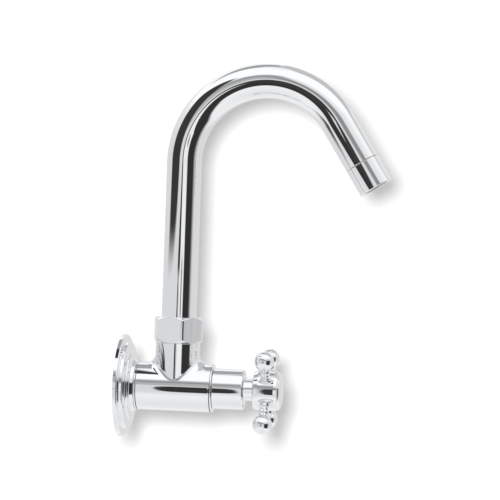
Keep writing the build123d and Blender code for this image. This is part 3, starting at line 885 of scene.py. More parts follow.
def on_barrel(x: np.ndarray, girth: np.ndarray, radius: float) -> tuple[np.ndarray, np.ndarray]:
    """Return points and outward directions on a cylinder about the barrel's axis.

    Args:
        x: Places along the axis.
        girth: Angles from straight up towards +Y.
        radius: The cylinder's radius.

    Returns:
        The points and the directions.
    """
    look = np.stack([0 * girth, np.sin(girth), np.cos(girth)], -1)
    return look * radius + np.stack([x, 0 * x, 0 * x], -1), look


def pierce(skin: Skin, radius: float, ends: tuple[float, float], girth: tuple[float, float], hole: np.ndarray,
           loop: np.ndarray, outward: bool = True, steps: int = 10) -> None:
    """Add a rectangle of a cylinder about the barrel's axis with a hole in it.

    Args:
        skin: Takes the patch.
        radius: Radius of the cylinder.
        ends: Where the rectangle starts and ends along the axis.
        girth: The girth angles of its other two sides.
        hole: The hole's edge as (x, girth angle) points.
        loop: The rectangle's points that match them, from rectangle_loop.
        outward: Whether the cylinder's outside is the surface, or else its inside.
        steps: Steps from the hole to the rectangle.
    """
    rim = np.stack([(low + high) / 2 + loop[:, axis] * (high - low) / 2
                    for axis, (low, high) in enumerate((ends, girth))], 1)
    share = np.linspace(0, 1, steps + 1)[:, None, None]
    grid = hole[None] * (1 - share) + rim[None] * share
    points, look = on_barrel(grid[..., 0], grid[..., 1], radius)
    skin.patch(points, look if outward else -look)


# ---- sub-assemblies, in millimetres as in the source


@dataclass
class WallFlange:
    """The pressed flange that hides the hole in the wall."""

    wall: float = 0.9
    rim_radius: float = 32.0
    rim_rounding: float = 0.15
    depth: float = 9.8
    hole_radius: float = 10.7775
    steps: tuple[Corner, ...] = ((2.8, 32.0, 1.1), (3.1, 27.8, 0.4), (5.4, 27.4, 1.2), (5.9, 21.2, 0.4),
                                 (6.9, 20.8, 0.8), (7.4, 16.7, 0.8), (9.8, 15.8, 0.6))
    segments: int = 192

    def build(self, kit: Kit) -> list[Object]:
        """Build the flange as one pressed shell.

        Args:
            kit: Nodes and finishes.

        Returns:
            The piece on its body.
        """
        edge = self.rim_rounding
        outside = [(0.0, self.rim_radius, edge), *self.steps, (self.depth, self.hole_radius, edge)]
        lining = [(0.0, self.rim_radius - self.wall, edge),
                  *[(along - self.wall, radius - self.wall, soft) for along, radius, soft in self.steps],
                  (self.depth - self.wall, self.hole_radius, 0.0)]
        return [turned_piece(kit, Body.ROOT, "wall_flange", lining + outside[::-1], BARREL, self.segments,
                             suffix="_pressed")]


@dataclass
class HelicalThread:
    """A pipe thread's ridge as a real helix, swept by geometry nodes."""

    root: float
    depth: float
    pitch: float
    length: float
    # The ridge's section: (share of the pitch, share of the depth) of its corners.
    section: tuple[tuple[float, float], ...] = ((-0.45, -0.25), (-0.07, 1.0), (0.07, 1.0), (0.45, -0.25))
    steps: int = 72
    sharp_deg: float = 35.0

    def tree(self) -> ShapeTree:
        """Build a spiral, a trapezium section, and the sweep between them.

        Returns:
            The tree.
        """
        shape = ShapeTree("helical_thread", dict.fromkeys(("Root Radius", "Depth", "Pitch", "Turns"), "Float"))
        given = shape.given
        spiral = shape.add("GeometryNodeCurveSpiral", {}, {
            "Resolution": self.steps, "Rotations": given["Turns"], "Start Radius": given["Root Radius"],
            "End Radius": given["Root Radius"],
            "Height": shape.calc("MULTIPLY", given["Pitch"], given["Turns"])})
        upright = shape.add("GeometryNodeSetCurveNormal", {"mode": "Z_UP"}, {"Curve": spiral})
        corners = {f"Point {number}": shape.point(shape.calc("MULTIPLY", given["Depth"], out),
                                                  shape.calc("MULTIPLY", given["Pitch"], across))
                   for number, (across, out) in enumerate(self.section, 1)}
        section = shape.add("GeometryNodeCurvePrimitiveQuadrilateral", {"mode": "POINTS"}, corners)
        return shape.finish(shape.sweep(upright, section))

    def build(self, name: str, frame: TurningFrame, finish: Material) -> Object:
        """Sweep the ridge along the given frame's axis.

        Args:
            name: Name of the piece.
            frame: Stands at the thread's start.
            finish: The ridge's finish.

        Returns:
            The ridge as a closed mesh.
        """
        values = {"Root Radius": self.root * MM, "Depth": self.depth * MM, "Pitch": self.pitch * MM,
                  "Turns": self.length / self.pitch - 1.0, "Finish": finish}
        return self.tree().run(name, values, frame.shifted(0.5 * self.pitch), self.sharp_deg)


@dataclass
class TeeCasting:
    """The tee-shaped body: inlet shank, barrel, outlet boss and the cast blend between them."""

    inlet_end: float = -4.0
    inlet_root: float = 9.3155
    inlet_mouth: float = 7.6
    inlet_bore: float = 7.0
    inlet_bevel: float = 0.6
    thread_end: float = 8.698
    # The seat that the washer shuts, from the inlet's bore to the chamber's floor.
    seat: tuple[Corner, ...] = ((24.0, 7.0, 0), (24.0, 6.0, 0.2), (27.0, 6.0, 0.3), (27.0, 7.4, 0.3),
                                (26.2, 7.4, 0.1), (26.2, 10.0, 0.5))
    barrel_start: float = 9.8
    barrel_end: float = 58.4
    barrel_radius: float = 15.0
    shoulder: float = 1.0
    edge: float = 0.4
    boss_radius: float = 14.0
    boss_height: float = 28.0
    boss_rows: int = 5
    blend: float = 6.0
    blend_steps: int = 16
    union: RingThread = RingThread(PIPE_PITCH, 13.2205, PIPE_DEPTH)
    union_start: float = 28.5
    union_turns: int = 5
    boss_top: float = 38.07
    socket_radius: float = 9.0
    socket_floor: float = 18.57
    outlet_bore: float = 7.0
    outlet_foot: float = 14.0
    chamber_radius: float = 10.0
    chamber: tuple[float, float] = (27.2, 45.5)
    headwork: RingThread = RingThread(1.5, 10.12, 10.12 - 9.2)
    # Along the headwork's socket: its relief, its thread's first ring, its thread's end and its floor.
    headwork_marks: tuple[float, float, float, float] = (46.1, 46.6, 55.6, 56.1)
    headwork_turns: int = 6
    gasket_radius: float = 11.9
    girth_steps: int = 64
    length_steps: int = 48

    def halves(self, skin: Skin, radius: float, ends: tuple[float, float], edge: np.ndarray, loop: np.ndarray,
               outward: bool) -> None:
        """Add a whole cylinder about the barrel's axis with a hole on top, as a pierced and a plain half.

        Args:
            skin: Takes the patches.
            radius: Radius of the cylinder.
            ends: Where it starts and ends.
            edge: The hole's edge as points on it.
            loop: The rectangle's points that match them.
            outward: Whether its outside is the surface.
        """
        hole = np.stack([edge[:, 0], np.arctan2(edge[:, 1], edge[:, 2])], 1)
        pierce(skin, radius, ends, (-math.pi / 2, math.pi / 2), hole, loop, outward)
        x, below = np.meshgrid(np.linspace(*ends, self.length_steps + 1),
                               np.linspace(math.pi / 2, 3 * math.pi / 2, self.girth_steps + 1), indexing="ij")
        points, look = on_barrel(x, below, radius)
        skin.patch(points, look if outward else -look)

    def boss(self, skin: Skin, angles: np.ndarray, loop: np.ndarray) -> None:
        """Add the barrel's outside, the blend as a rolling ball leaves it, and the boss with its bore.

        Args:
            skin: Takes the patches.
            angles: Angles round the boss.
            loop: The rectangle's points that match them.
        """
        cos, sin = np.cos(angles), np.sin(angles)
        around, over = self.boss_radius + self.blend, self.barrel_radius + self.blend
        ball = np.stack([around * cos, around * sin, np.sqrt(over ** 2 - (around * sin) ** 2)], 1)
        to_boss = -np.stack([cos, sin, 0 * cos], 1)
        to_barrel = -np.stack([0 * cos, ball[:, 1], ball[:, 2]], 1) / over
        bend = np.arccos(np.clip((to_boss * to_barrel).sum(1), -1, 1))[None, :, None]
        share = np.linspace(0, 1, self.blend_steps + 1)[:, None, None]
        spoke = (np.sin((1 - share) * bend) * to_boss + np.sin(share * bend) * to_barrel) / np.sin(bend)
        blend = ball[None] + spoke * self.blend + np.array(STEM.origin)
        skin.patch(blend, -spoke)
        ends = (self.barrel_start + self.shoulder, self.barrel_end - 2 * self.edge)
        self.halves(skin, self.barrel_radius, ends, blend[-1], loop, True)

        top = self.boss_height - 2 * self.edge
        rows = np.linspace(0, 1, self.boss_rows)[:, None, None]
        crown = np.stack([blend[0][:, 0], blend[0][:, 1], 0 * cos + top], 1)
        skin.patch(blend[0][None] * (1 - rows) + crown[None] * rows, repeated(-to_boss, self.boss_rows))
        root = self.union.root
        neck: list[Corner] = [
            (top, self.boss_radius, 0), (self.boss_height, self.boss_radius, self.edge),
            (self.boss_height, root, 0), *self.union.corners(self.union_start, self.union_turns),
            (self.boss_top - 0.5, root, 0), (self.boss_top, root, 0.3), (self.boss_top, self.socket_radius, 0.2),
            (self.socket_floor, self.socket_radius, 0), (self.socket_floor, self.outlet_bore, 0),
            (self.outlet_foot, self.outlet_bore, 0)]
        skin.spin(rounded(neck[::-1], closed=False), STEM, angles)
        across = self.outlet_bore * sin
        low = np.stack([self.outlet_bore * cos + STEM.origin[0], across,
                        np.sqrt(self.chamber_radius ** 2 - across ** 2)], 1)
        skin.patch(np.stack([low, low * [1, 1, 0] + [0, 0, self.outlet_foot]]), repeated(to_boss, 2))
        self.halves(skin, self.chamber_radius, self.chamber, low, loop, False)

    def build(self, kit: Kit) -> list[Object]:
        """Build the casting as one closed skin, inside and out, with the inlet's thread on it.

        Args:
            kit: Nodes and finishes.

        Returns:
            The piece on its body.
        """
        skin = Skin()
        self.boss(skin, *rectangle_loop(self.girth_steps, self.length_steps))
        relief, thread, thread_end, floor = self.headwork_marks
        crest, root, radius = self.headwork.crest, self.headwork.root, self.barrel_radius
        mouth: list[Corner] = [
            (self.chamber[1], self.chamber_radius, 0), (relief, self.chamber_radius, 0), (relief, root, 0),
            *self.headwork.corners(thread, self.headwork_turns), (thread_end, crest, 0), (floor, crest, 0),
            (floor, self.gasket_radius, 0), (self.barrel_end, self.gasket_radius, 0.2),
            (self.barrel_end, radius, self.edge), (self.barrel_end - 2 * self.edge, radius, 0)]
        inlet: list[Corner] = [
            (self.barrel_start + self.shoulder, radius, 0), (self.barrel_start, radius, self.edge),
            (self.barrel_start, self.inlet_root, 0), (self.inlet_end, self.inlet_root, 0),
            (self.inlet_end, self.inlet_mouth, 0), (self.inlet_end + self.inlet_bevel, self.inlet_bore, 0),
            *self.seat, (self.chamber[0], self.chamber_radius, 0)]
        turns = math.pi - full_turn(2 * self.girth_steps)
        for line in (mouth, inlet):
            skin.spin(rounded(line[::-1], closed=False), BARREL, turns)
        piece = skin.build("tee_casting_polished", kit.chrome)
        ridge = HelicalThread(self.inlet_root, PIPE_DEPTH, PIPE_PITCH, self.thread_end - self.inlet_end)
        thread_piece = ridge.build("inlet_thread", BARREL.shifted(self.inlet_end), kit.chrome)
        return [settle(joined(piece, thread_piece), Body.ROOT, Slot.CHROME, "body_casting")]


@dataclass
class SwivelNut:
    """The hexagon union nut, with softened corners and the chamfered ends of turned bar."""

    across_flats: float = 29.0
    bottom: float = 28.4
    top: float = 44.0
    chamfer: float = 1.9
    chamfer_softness: float = 1.0
    corner_softness: float = 2.3
    corner_steps: int = 6
    chamfer_steps: int = 4
    turn_deg: float = -13.9
    flat_steps: int = 14
    shortest_flat: float = 2.0      # shorter sides of the softened hexagon belong to its corners
    least_drop: float = 0.02        # how far even the middle of a flat stands out at the chamfer
    thread: RingThread = RingThread(PIPE_PITCH, 13.34, PIPE_DEPTH)
    thread_start: float = 28.5
    thread_turns: int = 5
    thread_end: float = 37.57
    lip: float = 41.42
    lip_hole: float = 11.7
    lip_bevel: float = 0.3

    @property
    def reach(self) -> float:
        """Distance of the sharp hexagon's corners from the axis."""
        return self.across_flats / 2 / math.cos(math.pi / 6)

    def wall(self) -> np.ndarray:
        """Soften the hexagon's corners.

        Returns:
            Points round the axis, the last equal to the first.
        """
        angles = [math.radians(self.turn_deg + 60 * i) for i in range(6)]
        soft = rounded([(self.reach * math.cos(a), self.reach * math.sin(a), self.corner_softness)
                        for a in angles], True, self.corner_steps).points
        path = []
        for here, there in zip(soft, np.roll(soft, -1, 0)):
            steps = self.flat_steps if np.linalg.norm(there - here) > self.shortest_flat else 1
            path += [here + (there - here) * k / steps for k in range(steps)]
        return np.array(path + path[:1])

    def build(self, kit: Kit) -> list[Object]:
        """Build the nut with its corner chamfers cut as arcs into the flats.

        Args:
            kit: Nodes and finishes.

        Returns:
            The piece on its body.
        """
        skin, wall, flat = Skin(), self.wall(), self.across_flats / 2
        columns = []
        for (x, y), far in zip(wall, np.linalg.norm(wall, axis=1)):
            drop = self.chamfer * max(far - flat, self.least_drop) / (self.reach - flat)
            out, soft = max(far, flat + self.least_drop), self.chamfer_softness
            line = rounded([(self.bottom, flat, 0), (self.bottom + drop, out, soft),
                            (self.top - drop, out, soft), (self.top, flat, 0)], False, self.chamfer_steps).points
            columns.append(np.stack([line[:, 1] * x / far, line[:, 1] * y / far, line[:, 0]], 1))
        centre = STEM.place(np.array([0, 0, (self.bottom + self.top) / 2]))
        skin.soft_patch(STEM.place(np.stack(columns, 1)), centre)
        crest = self.thread.crest
        inside: list[Corner] = [
            (self.bottom, flat, 0), (self.bottom, crest, 0.1),
            *self.thread.corners(self.thread_start, self.thread_turns),
            (self.thread_end, crest, 0), (self.lip, crest, 0.3), (self.lip, self.lip_hole, 0),
            (self.top - self.lip_bevel, self.lip_hole, 0), (self.top, self.lip_hole + self.lip_bevel, 0),
            (self.top, flat, 0)]
        skin.spin(rounded(inside, closed=False), STEM, np.unwrap(np.arctan2(wall[:, 1], wall[:, 0])))
        return [skin.plated(kit, Body.ROOT, "swivel_nut")]


@dataclass
class Headwork:
    """The sleeve over the headwork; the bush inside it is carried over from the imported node."""

    start: float = 58.5
    end: float = 78.3
    radius: float = 12.6
    wall: float = 1.2
    chamfer: tuple[float, float] = (0.7, 1.3)       # along the axis and inward
    hole: float = 6.85
    hole_depth: float = 1.8
    thread_start: float = 64.4
    thread_turns: int = 5
    segments: int = 144

    def build(self, kit: Kit) -> list[Object]:
        """Build the sleeve and the bush.

        Args:
            kit: Nodes and finishes.

        Returns:
            The pieces on their body.
        """
        root, floor, bore = FINE_THREAD.root, self.end - self.hole_depth, self.radius - self.wall
        thread_end = self.thread_start + self.thread_turns * FINE_THREAD.pitch
        outline = [
            (self.start, bore, 0), (self.thread_start, bore, 0),
            *FINE_THREAD.corners(self.thread_start, self.thread_turns), (thread_end, root, 0),
            (floor, root, 1.0), (floor, self.hole, 0), (self.end, self.hole, 0.15),
            (self.end, self.radius - self.chamfer[1], 0.5),
            (self.end - self.chamfer[0], self.radius, 1.2), (self.start, self.radius, 0.4)]
        return [turned_piece(kit, Body.ROOT, "bonnet_sleeve", outline[::-1], BARREL, self.segments),
                smoothed_copy(kit, "headwork_bush", "headwork_bush_plated", Body.ROOT, Slot.CHROME)]


@dataclass
class CrossHandle:
    """Hub, four turned arms with ball ends, and the cap."""

    start: float = 83.8
    end: float = 99.2
    radius: float = 12.6
    band: tuple[float, float] = (87.2, 96.2)        # the hub's middle, which carries the arms
    band_steps: int = 24
    shoulder: float = 3.2
    shoulder_drop: float = 1.1
    groove: float = 0.35
    neck_bore: float = 7.1
    # The hub's bore for the neck, the spline and the screw, up to the recess for the cap.
    bore: tuple[Corner, ...] = ((88.4, 7.1, 0.3), (88.4, 3.8, 0), (95.1, 3.8, 0), (95.1, 2.65, 0),
                                (95.5, 2.65, 0), (95.5, 9.65, 0))
    recess: float = 9.65
    arm_x: float = 91.7
    arm_hole: float = 3.2
    seat: float = 12.2
    arm_angles: tuple[float, ...] = (45.0, 135.0, 225.0, 315.0)
    # An arm's outline up to its neck, out from the seat in the hub: tenon, collar, bead and rings.
    arm_line: tuple[Corner, ...] = (
        (-5.6, 0, 0), (-5.6, 2.0, 0.4), (0, 2.0, 0), (0, 3.05, 0.2), (1.7, 3.05, 0.7), (2.1, 2.35, 0.3),
        (3.0, 2.35, 0.1), (3.2, 2.85, 0.3), (4.1, 2.85, 0.3), (4.4, 2.55, 0.3), (5.8, 3.5, 1.2), (6.1, 3.9, 0.2),
        (7.4, 3.9, 0.5), (7.7, 3.0, 0.3))
    neck: float = 3.0
    ball: float = 6.1
    ball_centre: float = 27.3
    ball_steps: int = 40
    arm_segments: int = 72
    cap_top: float = 102.2
    cap_rounding: float = 4.5
    cap_drop: float = 1.9
    # The cap's inside: its thickness, and the radii and depth of its spigot.
    cap_wall: float = 1.6
    spigot: tuple[float, float, float] = (8.4, 9.6, 2.0)
    taper: tuple[float, float] = (2.0, 0.35)
    dome: float = 85.0
    dome_gap: float = 3.2       # from the dome's last exact point to the cap's edge
    dome_steps: int = 8
    segments: int = 144

    def hub(self, kit: Kit) -> Object:
        """Build the hub with a shallow seat round each arm.

        Args:
            kit: Nodes and finishes.

        Returns:
            The hub on its body.
        """
        skin = Skin()
        angles, loop = rectangle_loop(self.band_steps, self.band_steps)
        middles = [math.pi / 2 - math.radians(degrees) for degrees in self.arm_angles]
        for middle in middles:
            across = self.arm_hole * np.sin(angles)
            x = self.arm_x + self.arm_hole * np.cos(angles)
            pierce(skin, self.radius, self.band, (middle - math.pi / 4, middle + math.pi / 4),
                   np.stack([x, middle + np.arcsin(across / self.radius)], 1), loop)
            out = np.array([0, math.sin(middle), math.cos(middle)])
            side = np.array([0, math.cos(middle), -math.sin(middle)])
            rim = np.stack([x, 0 * x, 0 * x], 1) + across[:, None] * side
            rise = np.sqrt(self.radius ** 2 - across ** 2)
            high, low = rim + rise[:, None] * out, rim + np.minimum(self.seat, rise)[:, None] * out
            spoke = np.cos(angles)[:, None] * np.array([1.0, 0, 0]) + np.sin(angles)[:, None] * side
            skin.patch(np.stack([low, high]), repeated(-spoke, 2))
            centre = repeated(np.array([self.arm_x, 0, 0]) + self.seat * out, len(angles))
            skin.patch(np.stack([centre, low]), repeated(repeated(out, len(angles)), 2))
        turns = math.pi / 2 - (middles[0] - math.pi / 4 + full_turn(4 * self.band_steps))
        rim_radius = self.radius - self.taper[1]
        skin.spin(rounded([
            (self.band[0], self.radius, 0), (self.start + self.shoulder, self.radius, 2.0),
            (self.start, self.radius - self.shoulder_drop, 1.0), (self.start, self.neck_bore, 0.3), *self.bore,
            (self.end, self.recess, 0.1), (self.end, rim_radius - self.groove, 0.06),
            (self.end - self.groove, rim_radius, 0.1), (self.end - self.taper[0], self.radius, 3.0),
            (self.band[1], self.radius, 0)], closed=False), BARREL, turns)
        return skin.plated(kit, Body.HANDLE, "handle_hub")

    def arm(self, kit: Kit, number: int) -> Object:
        """Build one arm, turned in one piece with its ball.

        Args:
            kit: Nodes and finishes.
            number: Its number, from 1.

        Returns:
            The arm on its body.
        """
        angle = math.radians(self.arm_angles[number - 1])
        frame = TurningFrame((self.arm_x, 0, 0), (0, math.cos(angle), math.sin(angle)), (1, 0, 0))
        line = rounded([(self.seat + along, radius, soft) for along, radius, soft in self.arm_line], False)
        neck_end = self.ball_centre - math.sqrt(self.ball ** 2 - self.neck ** 2)
        sweep = np.linspace(math.pi - math.asin(self.neck / self.ball), 0, self.ball_steps + 1)
        look = np.stack([np.cos(sweep), np.sin(sweep)], 1)
        arc = look * self.ball + [self.ball_centre, 0]
        arc[-1, 1] = 0
        flat = np.array([[0.0, 1.0]])
        skin = Skin()
        whole = Outline(np.concatenate([line.points, [[neck_end, self.neck]], arc]),
                        np.concatenate([line.before, flat, look]),
                        np.concatenate([line.after[:-1], flat, flat, look]))
        skin.spin(whole, frame, full_turn(self.arm_segments))
        return skin.plated(kit, Body.HANDLE, f"handle_arm_{number}")

    def cap(self, kit: Kit) -> Object:
        """Build the slightly domed cap with its spigot.

        Args:
            kit: Nodes and finishes.

        Returns:
            The cap on its body.
        """
        brink, rim = self.radius - self.cap_drop, self.radius - self.taper[1]
        tilt = np.linspace(0, math.asin((brink - self.dome_gap) / self.dome), self.dome_steps + 1)
        crown = [(self.cap_top - self.dome * (1 - math.cos(t)), self.dome * math.sin(t), 0.0) for t in tilt]
        edge = (self.cap_top - (self.dome - math.sqrt(self.dome ** 2 - brink ** 2)), brink, self.cap_rounding)
        inner, outer, depth = self.spigot
        floor, foot = self.cap_top - self.cap_wall, self.end - depth
        inside = [(floor, 0, 0), (floor, inner, 0.8), (foot, inner, 0), (foot, outer, 0.3), (self.end, outer, 0),
                  (self.end, rim - self.groove, 0), (self.end + self.groove, rim - self.taper[1] / 2, 0)]
        return turned_piece(kit, Body.HANDLE, "handle_cap", inside + [edge] + crown[::-1], BARREL, self.segments,
                            closed=False)

    def build(self, kit: Kit) -> list[Object]:
        """Build the hub, the arms and the cap.

        Args:
            kit: Nodes and finishes.

        Returns:
            The pieces on their body.
        """
        arms = range(1, len(self.arm_angles) + 1)
        return [self.hub(kit), *[self.arm(kit, number) for number in arms], self.cap(kit)]


@dataclass
class Spout:
    """The bent tube and the aerator housing that carries its line on."""

    x: float = STEM.origin[0]
    foot: float = 40.52
    bend_z: float = 142.22
    bend_radius: float = 52.0
    bend_deg: float = 148.2
    leg: float = 30.0
    radius: float = 11.0
    wall: float = 1.0
    end_rounding: float = 0.3
    end_steps: int = 5
    stem_steps: int = 8
    bend_steps: int = 96
    seam: float = 0.15
    housing: float = 17.65
    housing_turns: int = 7
    mouth: tuple[float, float] = (8.4, 1.5)     # radius and depth of the lip that holds the insert
    segments: int = 112

    def on_bend(self, lean: float) -> Triple:
        """Return x, z and lean of the middle line where the bend has reached a lean in radians."""
        across, up = self.bend_radius * (1 - math.cos(lean)), self.bend_radius * math.sin(lean)
        return self.x + across, self.bend_z + up, lean

    def leg_frame(self) -> TurningFrame:
        """Find the frame that stands at the end of the bend.

        Returns:
            The frame, which runs down the leg.
        """
        x, z, lean = self.on_bend(math.radians(self.bend_deg))
        return TurningFrame((x, 0.0, z), (math.sin(lean), 0.0, math.cos(lean)), (0, 1, 0))

    def stations(self) -> list[Triple]:
        """Follow the tube's middle line along stem, bend and leg.

        Returns:
            Its x, its z and its lean at each station.
        """
        line = [(self.x, z, 0.0) for z in np.linspace(self.foot, self.bend_z, self.stem_steps + 1)[:-1]]
        line += [self.on_bend(lean) for lean in np.radians(np.linspace(0, self.bend_deg, self.bend_steps + 1))]
        x, z, lean = line[-1]
        return line + [(x + math.sin(lean) * t, z + math.cos(lean) * t, lean) for t in (self.leg / 2, self.leg)]

    def tube(self, kit: Kit) -> Object:
        """Sweep the tube's outside and inside and close both ends.

        Args:
            kit: Nodes and finishes.

        Returns:
            The tube on its body.
        """
        skin, theta, stations = Skin(), full_turn(self.segments), self.stations()
        lean = stations[-1][2]
        out = np.array([math.sin(lean), 0, math.cos(lean)])
        rims = []
        for radius, sign, rounding in ((self.radius, 1, self.end_rounding), (self.radius - self.wall, -1, 0.0)):
            looks = [np.stack([-math.cos(a) * np.cos(theta), np.sin(theta), math.sin(a) * np.cos(theta)], 1)
                     for _, _, a in stations]
            rows = [look * radius + np.array([x, 0, z]) for look, (x, z, _) in zip(looks, stations)]
            if rounding:
                ring, look = rows.pop() - looks[-1] * rounding - out * rounding, looks.pop()
                for turn in np.linspace(0, math.pi / 2, self.end_steps + 1):
                    looks.append(look * math.cos(turn) + out * math.sin(turn))
                    rows.append(ring + looks[-1] * rounding)
            skin.patch(np.array(rows), np.array(looks) * sign)
            rims.append((rows[0], rows[-1]))
        for look, *ring in zip((np.array([0, 0, -1.0]), out), *rims):
            skin.patch(np.stack(ring), np.broadcast_to(look, np.shape(ring)))
        return skin.plated(kit, Body.SPOUT, "spout_tube")

    def build(self, kit: Kit) -> list[Object]:
        """Build the housing and the tube.

        Args:
            kit: Nodes and finishes.

        Returns:
            The pieces on their body.
        """
        start = self.leg + self.seam
        end = start + self.housing
        mouth, depth = self.mouth
        root, lip, thread_end = FINE_THREAD.root, end - depth, start + self.housing_turns * FINE_THREAD.pitch
        outline: list[Corner] = [
            *FINE_THREAD.corners(start, self.housing_turns), (thread_end, root, 0), (lip, root, 0),
            (lip, mouth, 0), (end, mouth, 0.3), (end, self.radius, 0.5), (start, self.radius, 0.35)]
        return [turned_piece(kit, Body.SPOUT, "aerator_housing", outline[::-1], self.leg_frame(), self.segments),
                self.tube(kit)]


@dataclass
class WovenScreens:
    """The two wire discs in the aerator's mouth, woven over and under by geometry nodes."""

    leg: TurningFrame
    radius: float = 9.2
    pitch: float = 1.8
    wire: float = 0.25
    lift: float = 0.15              # from a disc's packed face to its middle
    starts: tuple[float, ...] = (45.6, 46.0)
    wire_points: int = 97
    wire_sides: int = 6
    sway: float = 0.45              # how far a wire bends to each side, as a share of its width
    sharp_deg: float = 60.0

    def wires(self, shape: ShapeTree, quarter: int) -> Socket:
        """Add the wires that run one way.

        Args:
            shape: The tree.
            quarter: Quarter turns that this set is turned by, 0 or 1.

        Returns:
            The wires.
        """
        given, do = shape.given, shape.calc
        count = do("MULTIPLY_ADD", given["Count"], 2.0, 1.0)
        grid = shape.add("GeometryNodeMeshGrid", {}, {
            "Size X": 2.0, "Size Y": 2.0, "Vertices X": self.wire_points, "Vertices Y": count})
        ends = add_node(shape.tree, "GeometryNodeInputMeshEdgeVertices").outputs
        apart = shape.add("ShaderNodeVectorMath", {"operation": "SUBTRACT"}, {
            0: ends["Position 1"], 1: ends["Position 2"]})
        split = add_node(shape.tree, "ShaderNodeSeparateXYZ", {}, {0: apart}).outputs
        rows = shape.add("GeometryNodeDeleteGeometry", {"domain": "EDGE", "mode": "EDGE_FACE"}, {
            "Geometry": grid, "Selection": do("GREATER_THAN", do("ABSOLUTE", split["Y"]), 1e-5)})
        lines = shape.add("GeometryNodeMeshToCurve", {}, {0: rows})
        spot = add_node(shape.tree, "ShaderNodeSeparateXYZ", {}, {
            0: shape.add("GeometryNodeInputPosition")}).outputs
        row = do("ROUND", do("MULTIPLY", spot["Y"], given["Count"]))
        y = do("MULTIPLY", row, given["Pitch"])
        half = do("SQRT", do("SUBTRACT", do("POWER", given["Radius"], 2.0), do("POWER", y, 2.0)))
        x = do("MULTIPLY", spot["X"], half)
        crossing = do("ADD", do("DIVIDE", x, given["Pitch"]), do("ADD", row, float(quarter)))
        phase = do("MULTIPLY", crossing, math.pi)
        z = do("MULTIPLY", do("COSINE", phase), do("MULTIPLY", given["Wire"], self.sway))
        moved = shape.point(do("MULTIPLY", y, -1.0), x, z) if quarter else shape.point(x, y, z)
        bent = shape.add("GeometryNodeSetPosition", {}, {"Geometry": lines, "Position": moved})
        circle = shape.add("GeometryNodeCurvePrimitiveCircle", {}, {
            "Resolution": self.wire_sides, "Radius": do("MULTIPLY", given["Wire"], 0.5)})
        return shape.sweep(bent, circle)

    def build(self, kit: Kit) -> list[Object]:
        """Weave both discs, the second turned by half a right angle, and join them into one piece.

        Args:
            kit: Nodes and finishes.

        Returns:
            The piece on its body.
        """
        shape = ShapeTree("woven_screen", {"Radius": "Float", "Pitch": "Float", "Wire": "Float", "Count": "Int"})
        both = add_node(shape.tree, "GeometryNodeJoinGeometry")
        for quarter in (0, 1):
            shape.tree.links.new(self.wires(shape, quarter), both.inputs[0])
        shape.finish(both.outputs[0])
        values = {"Radius": (self.radius - self.wire / 2) * MM, "Pitch": self.pitch * MM, "Wire": self.wire * MM,
                  "Count": int((self.radius - self.wire) / self.pitch), "Finish": kit.finishes[Slot.STEEL]}
        discs = []
        for index, start in enumerate(self.starts):
            turn, base = math.radians(45 * index), self.leg.directions()
            frame = self.leg.shifted(start + self.lift, math.cos(turn) * base[0] + math.sin(turn) * base[1])
            discs.append(shape.run(f"aerator_screen_{index}", values, frame, self.sharp_deg))
        piece = joined(*discs)
        piece.name = "aerator_screens_woven"
        return [settle(piece, Body.SPOUT, Slot.STEEL, "aerator_screens")]


@dataclass
class InnerWorks:
    """The pieces that stay inside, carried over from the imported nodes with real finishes."""

    pieces: tuple[tuple[Slot, Body, tuple[str, ...]], ...] = (
        (Slot.BRASS, Body.HANDLE, ("spindle",)),
        (Slot.BRASS, Body.PLUNGER, ("plunger",)),
        (Slot.BRASS, Body.SPOUT, ("spout_tail", "outlet_nipple")),
        (Slot.RUBBER, Body.ROOT, ("headwork_gasket",)),
        (Slot.RUBBER, Body.PLUNGER, ("seat_washer",)),
        (Slot.RUBBER, Body.HANDLE, ("spindle_o_rings",)),
        (Slot.RUBBER, Body.SPOUT, ("spout_o_rings", "aerator_gasket")),
        (Slot.ACETAL, Body.ROOT, ("spout_thrust_washer", "spout_bearing_ring")),
        (Slot.ACETAL, Body.SPOUT, ("aerator_insert",)),
        (Slot.STEEL, Body.HANDLE, ("spindle_circlip", "handle_screw")),
        (Slot.STEEL, Body.PLUNGER, ("washer_screw",)))

    def build(self, kit: Kit) -> list[Object]:
        """Copy each piece with its finish onto its body.

        Args:
            kit: Nodes and finishes.

        Returns:
            The pieces on their bodies.
        """
        return [smoothed_copy(kit, node, node + "_finished", body, slot)
                for slot, body, nodes in self.pieces for node in nodes]


# ---- studio and camera


@dataclass(frozen=True)
class Card:
    """A soft-edged rectangle of one grey in the studio, as the plated pieces mirror it.

    Angles in degrees; soft says how far its left side, its right side and its two ends fade.
    """

    azimuth: tuple[float, float]
    height: tuple[float, float]
    colour: str
    soft: Triple


